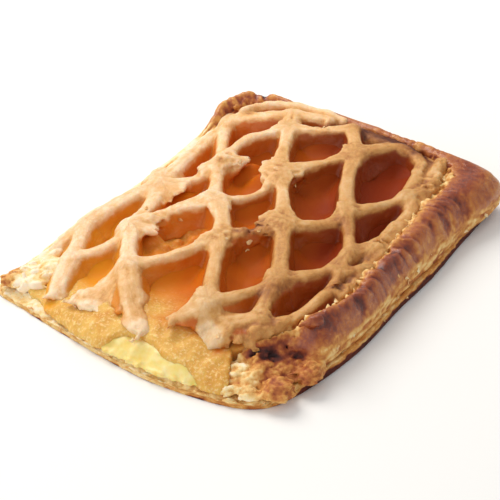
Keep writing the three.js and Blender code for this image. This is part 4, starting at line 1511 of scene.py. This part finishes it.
def appleMaterial():
    # Apple cooked in an amber jelly: smooth, wet and slightly clear between the strands, brick red towards
    # the back right, partly its own redder colour and partly painted shade away from the key light at the
    # left, and grainy golden flesh where the tear opens it.
    colours = {"flesh": "#E4B45C", "orange": "#D08E36", "paleGrain": "#F4D494"}
    c = {name: linear(value) for name, value in colours.items()}
    material, add, shader = newMaterial("cookedAppleJelly")
    coords = add("ShaderNodeTexCoord").outputs["Object"]
    jelly = jellyColour(add, coords)
    grain = add(
        "ShaderNodeTexNoise",
        {},
        {"Vector": coords, "Scale": perMetre(0.9), "Detail": 4.0, "Roughness": 0.6},
    ).outputs["Fac"]
    clouds = add(
        "ShaderNodeTexNoise",
        {},
        {"Vector": coords, "Scale": perMetre(7), "Detail": 4.0, "Distortion": 0.8},
    ).outputs["Fac"]
    place = add("ShaderNodeSeparateXYZ", {}, {"Vector": coords}).outputs["X"]
    clouds = add("ShaderNodeMath", {"operation": "MULTIPLY_ADD"},
        {0: place, 1: 1.5, 2: clouds}).outputs[0]
    cloudShare = add(
        "ShaderNodeMapRange", {}, {"Value": clouds, "From Min": 0.4, "From Max": 0.78}
    ).outputs[0]
    paleShare = add(
        "ShaderNodeMapRange", {}, {"Value": grain, "From Min": 0.5, "From Max": 0.66, "To Max": 0.8}
    ).outputs[0]
    flesh = add("ShaderNodeMix", {"data_type": "RGBA"}, {0: cloudShare, 6: c["flesh"], 7: c["orange"]})
    flesh = add(
        "ShaderNodeMix", {"data_type": "RGBA"}, {0: paleShare, 6: flesh.outputs[2], 7: c["paleGrain"]}
    ).outputs[2]
    torn = add("ShaderNodeAttribute", {"attribute_name": "torn"}).outputs["Fac"]
    colour = add("ShaderNodeMix", {"data_type": "RGBA"}, {0: torn, 6: jelly, 7: flesh}).outputs[2]
    rough = add("ShaderNodeMapRange", {}, {"Value": torn, "To Min": 0.5, "To Max": 0.4}).outputs[0]
    depth = add("ShaderNodeMath", {"operation": "MULTIPLY"}, {0: grain, 1: torn}).outputs[0]
    bump = add(
        "ShaderNodeBump", {}, {"Height": depth, "Strength": 0.8, "Distance": 0.0005}
    ).outputs["Normal"]
    shine = add("ShaderNodeMapRange", {}, {"Value": torn, "To Min": 0.08, "To Max": 0.16}).outputs[0]
    finish = {
        "Base Color": colour,
        "Roughness": rough,
        "Normal": bump,
        "Specular IOR Level": shine,
        "Subsurface Weight": 0.3,
        "Subsurface Radius": (1.0, 0.4, 0.08),
        "Subsurface Scale": 0.003,
    }
    setInputs(shader, finish)
    return material


def custardMaterial():
    # Set custard cream: smooth, moist and pale yellow, with a little grain where it is torn.
    material, add, shader = newMaterial("setCustardCream")
    coords = add("ShaderNodeTexCoord").outputs["Object"]
    cloud = add(
        "ShaderNodeTexNoise", {}, {"Vector": coords, "Scale": perMetre(3), "Detail": 4.0}
    ).outputs["Fac"]
    share = add("ShaderNodeMapRange", {}, {"Value": cloud, "From Min": 0.3, "From Max": 0.75}).outputs[0]
    colour = add(
        "ShaderNodeMix", {"data_type": "RGBA"}, {0: share, 6: linear("#ECCC64"), 7: linear("#F3E2A2")}
    ).outputs[2]
    bump = add(
        "ShaderNodeBump", {}, {"Height": cloud, "Strength": 0.4, "Distance": 0.0006}
    ).outputs["Normal"]
    finish = {
        "Base Color": colour,
        "Normal": bump,
        "Roughness": 0.42,
        "Subsurface Weight": 0.3,
        "Subsurface Scale": 0.002,
    }
    setInputs(shader, finish)
    return material


def flakeMaterial():
    # Loose flakes of puff pastry: paper-thin, matt, cream with toasted edges.
    colours = {"cream": "#F4DDB0", "golden": "#DDA862", "toasted": "#B4743A"}
    c = {name: linear(value) for name, value in colours.items()}
    material, add, shader = newMaterial("looseFlakes")
    coords = add("ShaderNodeTexCoord").outputs["Object"]
    noise = add(
        "ShaderNodeTexNoise", {}, {"Vector": coords, "Scale": perMetre(2.2), "Detail": 4.0}
    ).outputs["Fac"]
    colour = add("ShaderNodeValToRGB", {}, {"Fac": noise})
    colour.color_ramp.elements[0].position = 0.38
    colour.color_ramp.elements[0].color = c["cream"]
    colour.color_ramp.elements[1].position = 0.8
    colour.color_ramp.elements[1].color = c["toasted"]
    colour.color_ramp.elements.new(0.58).color = c["golden"]
    bump = add(
        "ShaderNodeBump", {}, {"Height": noise, "Strength": 0.4, "Distance": 0.0003}
    ).outputs["Normal"]
    finish = {
        "Base Color": colour.outputs[0],
        "Normal": bump,
        "Roughness": 0.55,
        "Subsurface Weight": 0.2,
        "Subsurface Scale": 0.001,
    }
    setInputs(shader, finish)
    return material


# Flakes and crumbs, strewn by Geometry Nodes where the pastry has split

flakes = {
    "shapes": 5,
    "corners": 7,
    "thickness": 0.12,  # share of its own width
    "smallest": 0.7,  # millimetres across
    "tilt": 0.3,  # most that one leans from the pastry under it, in radians
    "seed": 4,
}


def flakeShape(number):
    # a curled scrap of skin one millimetre across, thick enough to be a closed solid
    rng = np.random.default_rng(flakes["seed"] + number)
    n = flakes["corners"]
    angles = 2 * np.pi * (np.arange(n) + rng.uniform(-0.3, 0.3, n)) / n
    radii = 0.5 * rng.uniform(0.55, 1.0, n)
    x, y = radii * np.cos(angles) * 1.35, radii * np.sin(angles) * 0.8
    curl = 0.9 * x**2 - 0.3 * y**2 + rng.uniform(-0.05, 0.05, n)
    half = flakes["thickness"] / 2
    top = np.stack([x, y, curl + half], 1)
    under = np.stack([x * 0.94, y * 0.94, curl - half], 1)
    points = np.vstack([top, under, [0, 0, half], [0, 0, -half]])
    k = np.arange(n)
    after = (k + 1) % n
    faces = [(int(a), int(b), 2 * n) for a, b in zip(k, after)]
    faces += [(int(b + n), int(a + n), 2 * n + 1) for a, b in zip(k, after)]
    faces += [(int(a), int(a + n), int(b + n), int(b)) for a, b in zip(k, after)]
    mesh = bpy.data.meshes.new("flakeShape")
    mesh.from_pydata((points * 0.001).tolist(), [], faces)
    return bpy.data.objects.new("flakeShape%d" % number, mesh)


def strewnFlakes(name, base, perSquareCentimetre, largest, material):
    seed = flakes["seed"]
    shapes = bpy.data.collections.new(name + "Shapes")
    for k in range(flakes["shapes"]):
        shapes.objects.link(flakeShape(k))
    tree = bpy.data.node_groups.new(name + "Tree", "GeometryNodeTree")
    tree.interface.new_socket("Geometry", in_out="INPUT", socket_type="NodeSocketGeometry")
    sizes = {
        "Density": perSquareCentimetre * 1e4,  # for each square metre
        "Smallest": flakes["smallest"],
        "Largest": largest,
        "Tilt": flakes["tilt"],
    }
    ids = {}
    for label, value in sizes.items():
        socket = tree.interface.new_socket(label, in_out="INPUT", socket_type="NodeSocketFloat")
        ids[socket.identifier] = value
    tree.interface.new_socket("Geometry", in_out="OUTPUT", socket_type="NodeSocketGeometry")
    add = functools.partial(addNode, tree)
    given = add("NodeGroupInput").outputs
    flaky = add("GeometryNodeInputNamedAttribute", {"data_type": "FLOAT"}, {"Name": "flaky"})
    steep = add("ShaderNodeMath", {"operation": "POWER"}, {0: flaky.outputs[0], 1: 1.5})
    dense = add("ShaderNodeMath", {"operation": "MULTIPLY"}, {0: steep.outputs[0], 1: given["Density"]})
    strewn = add(
        "GeometryNodeDistributePointsOnFaces",
        {"distribute_method": "RANDOM"},
        {"Mesh": given["Geometry"], "Density": dense.outputs[0], "Seed": seed},
    )
    size = add(
        "FunctionNodeRandomValue",
        {"data_type": "FLOAT"},
        {2: given["Smallest"], 3: given["Largest"], "Seed": seed + 1},
    )
    down = add("ShaderNodeMath", {"operation": "MULTIPLY"}, {0: given["Tilt"], 1: -1.0})
    low = add("ShaderNodeCombineXYZ", {}, {0: down.outputs[0], 1: down.outputs[0], 2: -3.14159})
    high = add("ShaderNodeCombineXYZ", {}, {0: given["Tilt"], 1: given["Tilt"], 2: 3.14159})
    turn = add(
        "FunctionNodeRandomValue",
        {"data_type": "FLOAT_VECTOR"},
        {0: low.outputs[0], 1: high.outputs[0], "Seed": seed + 2},
    )
    turned = add(
        "FunctionNodeRotateRotation",
        {"rotation_space": "LOCAL"},
        {"Rotation": strewn.outputs["Rotation"], "Rotate By": turn.outputs[0]},
    )
    picked = add(
        "GeometryNodeCollectionInfo", {},
            {"Collection": shapes, "Separate Children": True, "Reset Children": True}
    )
    placed = add(
        "GeometryNodeInstanceOnPoints",
        {},
        {
            "Points": strewn.outputs["Points"],
            "Instance": picked.outputs[0],
            "Pick Instance": True,
            "Rotation": turned.outputs[0],
            "Scale": size.outputs[1],
        },
    )
    plain = add("GeometryNodeRealizeInstances", {}, {"Geometry": placed.outputs[0]})
    done = add("GeometryNodeSetMaterial", {}, {"Geometry": plain.outputs[0], "Material": material})
    add("NodeGroupOutput", {}, {"Geometry": done.outputs[0]})
    maker = bpy.data.objects.new(name + "Maker", base.data)
    bpy.context.scene.collection.objects.link(maker)
    modifier = maker.modifiers.new("flakes", "NODES")
    modifier.node_group = tree
    for identifier, value in ids.items():
        modifier[identifier] = float(value)
    seen = maker.evaluated_get(bpy.context.evaluated_depsgraph_get())
    mesh = bpy.data.meshes.new_from_object(seen)
    mesh.name = name
    maker.modifiers.remove(modifier)
    bpy.data.objects.remove(maker)
    for shape in list(shapes.objects):
        bpy.data.objects.remove(shape)
    bpy.data.collections.remove(shapes)
    piece = bpy.data.objects.new(name, mesh)
    bpy.context.scene.collection.objects.link(piece)
    return piece


def paperMaterial():
    # Seamless white backdrop paper: matt, with no pattern.
    material, add, shader = newMaterial("backdropPaper")
    coords = add("ShaderNodeTexCoord").outputs["Object"]
    tooth = add("ShaderNodeTexNoise", {}, {"Vector": coords, "Scale": perMetre(2)}).outputs["Fac"]
    bump = add("ShaderNodeBump", {}, {"Height": tooth, "Strength": 0.02,
        "Distance": 0.0002}).outputs["Normal"]
    setInputs(shader, {"Normal": bump, "Base Color": linear("#F4F4F2"), "Roughness": 0.8})
    return material


# Pieces

ribbons = ribbonNetwork()
dough = buildLattice(ribbons)
print("lattice", len(dough.data.polygons))
rim = buildBorder()
print("border", len(rim.data.polygons))
bottom = buildSheet()
print("sheet", len(bottom.data.polygons))
fruit = buildApple(ribbons)
print("apple", len(fruit.data.polygons))
cream = buildCustard()
print("custard", len(cream.data.polygons))

for piece, node, slot, material in (
    (dough, "lattice_crust", "lattice_pastry", doughMaterial()),
    (rim, "rim_crust", "glazed_pastry", glazedCrustMaterial()),
    (bottom, "base_crust", "base_pastry", sheetMaterial()),
    (fruit, "apple_filling", "apple", appleMaterial()),
    (cream, "custard_cream", "custard", custardMaterial()),
):
    piece.data.materials.append(material)
    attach(piece, "root")
    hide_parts(node)

loose = flakeMaterial()
for name, base, perSquareCentimetre, largest, slot in (
    ("latticeFlakes", dough, 5, 2.6, "lattice_pastry"),
    ("borderFlakes", rim, 5, 2.4, "glazed_pastry"),
    ("sheetFlakes", bottom, 7, 2.0, "base_pastry"),
):
    piece = strewnFlakes(name, base, perSquareCentimetre, largest, loose)
    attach(piece, "root")
    print(name, len(piece.data.polygons))

# Camera, floor and light

view = {
    "azimuth": 34.0,
    "elevation": 32.0,
    "distance": 600.0,
    "lens": 144.0,
    "picture": 500,  # pixels along each side of the picture
    "aim": (6.0, 5.0),  # pixels that the layout's middle lies right of and below its centre
}


def placeCamera():
    a, e = math.radians(view["azimuth"]), math.radians(view["elevation"])
    camera = bpy.data.objects.new("camera", bpy.data.cameras.new("camera"))
    camera.data.lens = view["lens"]
    camera.data.sensor_width = 36.0
    camera.data.shift_x = -view["aim"][0] / view["picture"]
    camera.data.shift_y = view["aim"][1] / view["picture"]
    camera.data.clip_start = 0.01
    back = np.array([math.sin(a) * math.cos(e), -math.cos(a) * math.cos(e), math.sin(e)])
    camera.location = (back * view["distance"] + pie["shift"]) * 0.001
    camera.rotation_euler = (math.radians(90 - view["elevation"]), 0, math.radians(view["azimuth"]))
    bpy.context.scene.collection.objects.link(camera)
    bpy.context.scene.camera = camera


def addLight(name, place, size, power, colour):
    lamp = bpy.data.lights.new(name, "AREA")
    lamp.shape = "DISK"
    lamp.size = size
    lamp.energy = power
    lamp.color = linear(colour)[:3]
    obj = bpy.data.objects.new(name, lamp)
    obj.location = place
    away = np.array(place, float) - np.array([0, 0, 0.01])
    obj.rotation_euler = (
        math.acos(away[2] / np.linalg.norm(away)),
        0,
        math.atan2(away[1], away[0]) + math.pi / 2,
    )
    bpy.context.scene.collection.objects.link(obj)


placeCamera()
addLight("windowKey", (-0.43, 0.16, 0.57), 0.5, 4.0, "#FFF8F0")
addLight("frontFill", (-0.1, -0.8, 0.4), 0.8, 2.0, "#FFFFFF")

world = bpy.data.worlds.new("studio")
world.use_nodes = True
world.node_tree.nodes["Background"].inputs["Color"].default_value = (1, 1, 1, 1)
world.node_tree.nodes["Background"].inputs["Strength"].default_value = 0.6
bpy.context.scene.world = world
bpy.context.scene.view_settings.view_transform = "Standard"

floorMesh = bpy.data.meshes.new("floor")
reach = 2.5  # metres from its middle to each edge
corners = [(-reach, -reach, 0), (reach, -reach, 0), (reach, reach, 0), (-reach, reach, 0)]
floorMesh.from_pydata(corners, [], [(0, 1, 2, 3)])
floor = bpy.data.objects.new("floor", floorMesh)
floorMesh.materials.append(paperMaterial())
bpy.context.scene.collection.objects.link(floor)
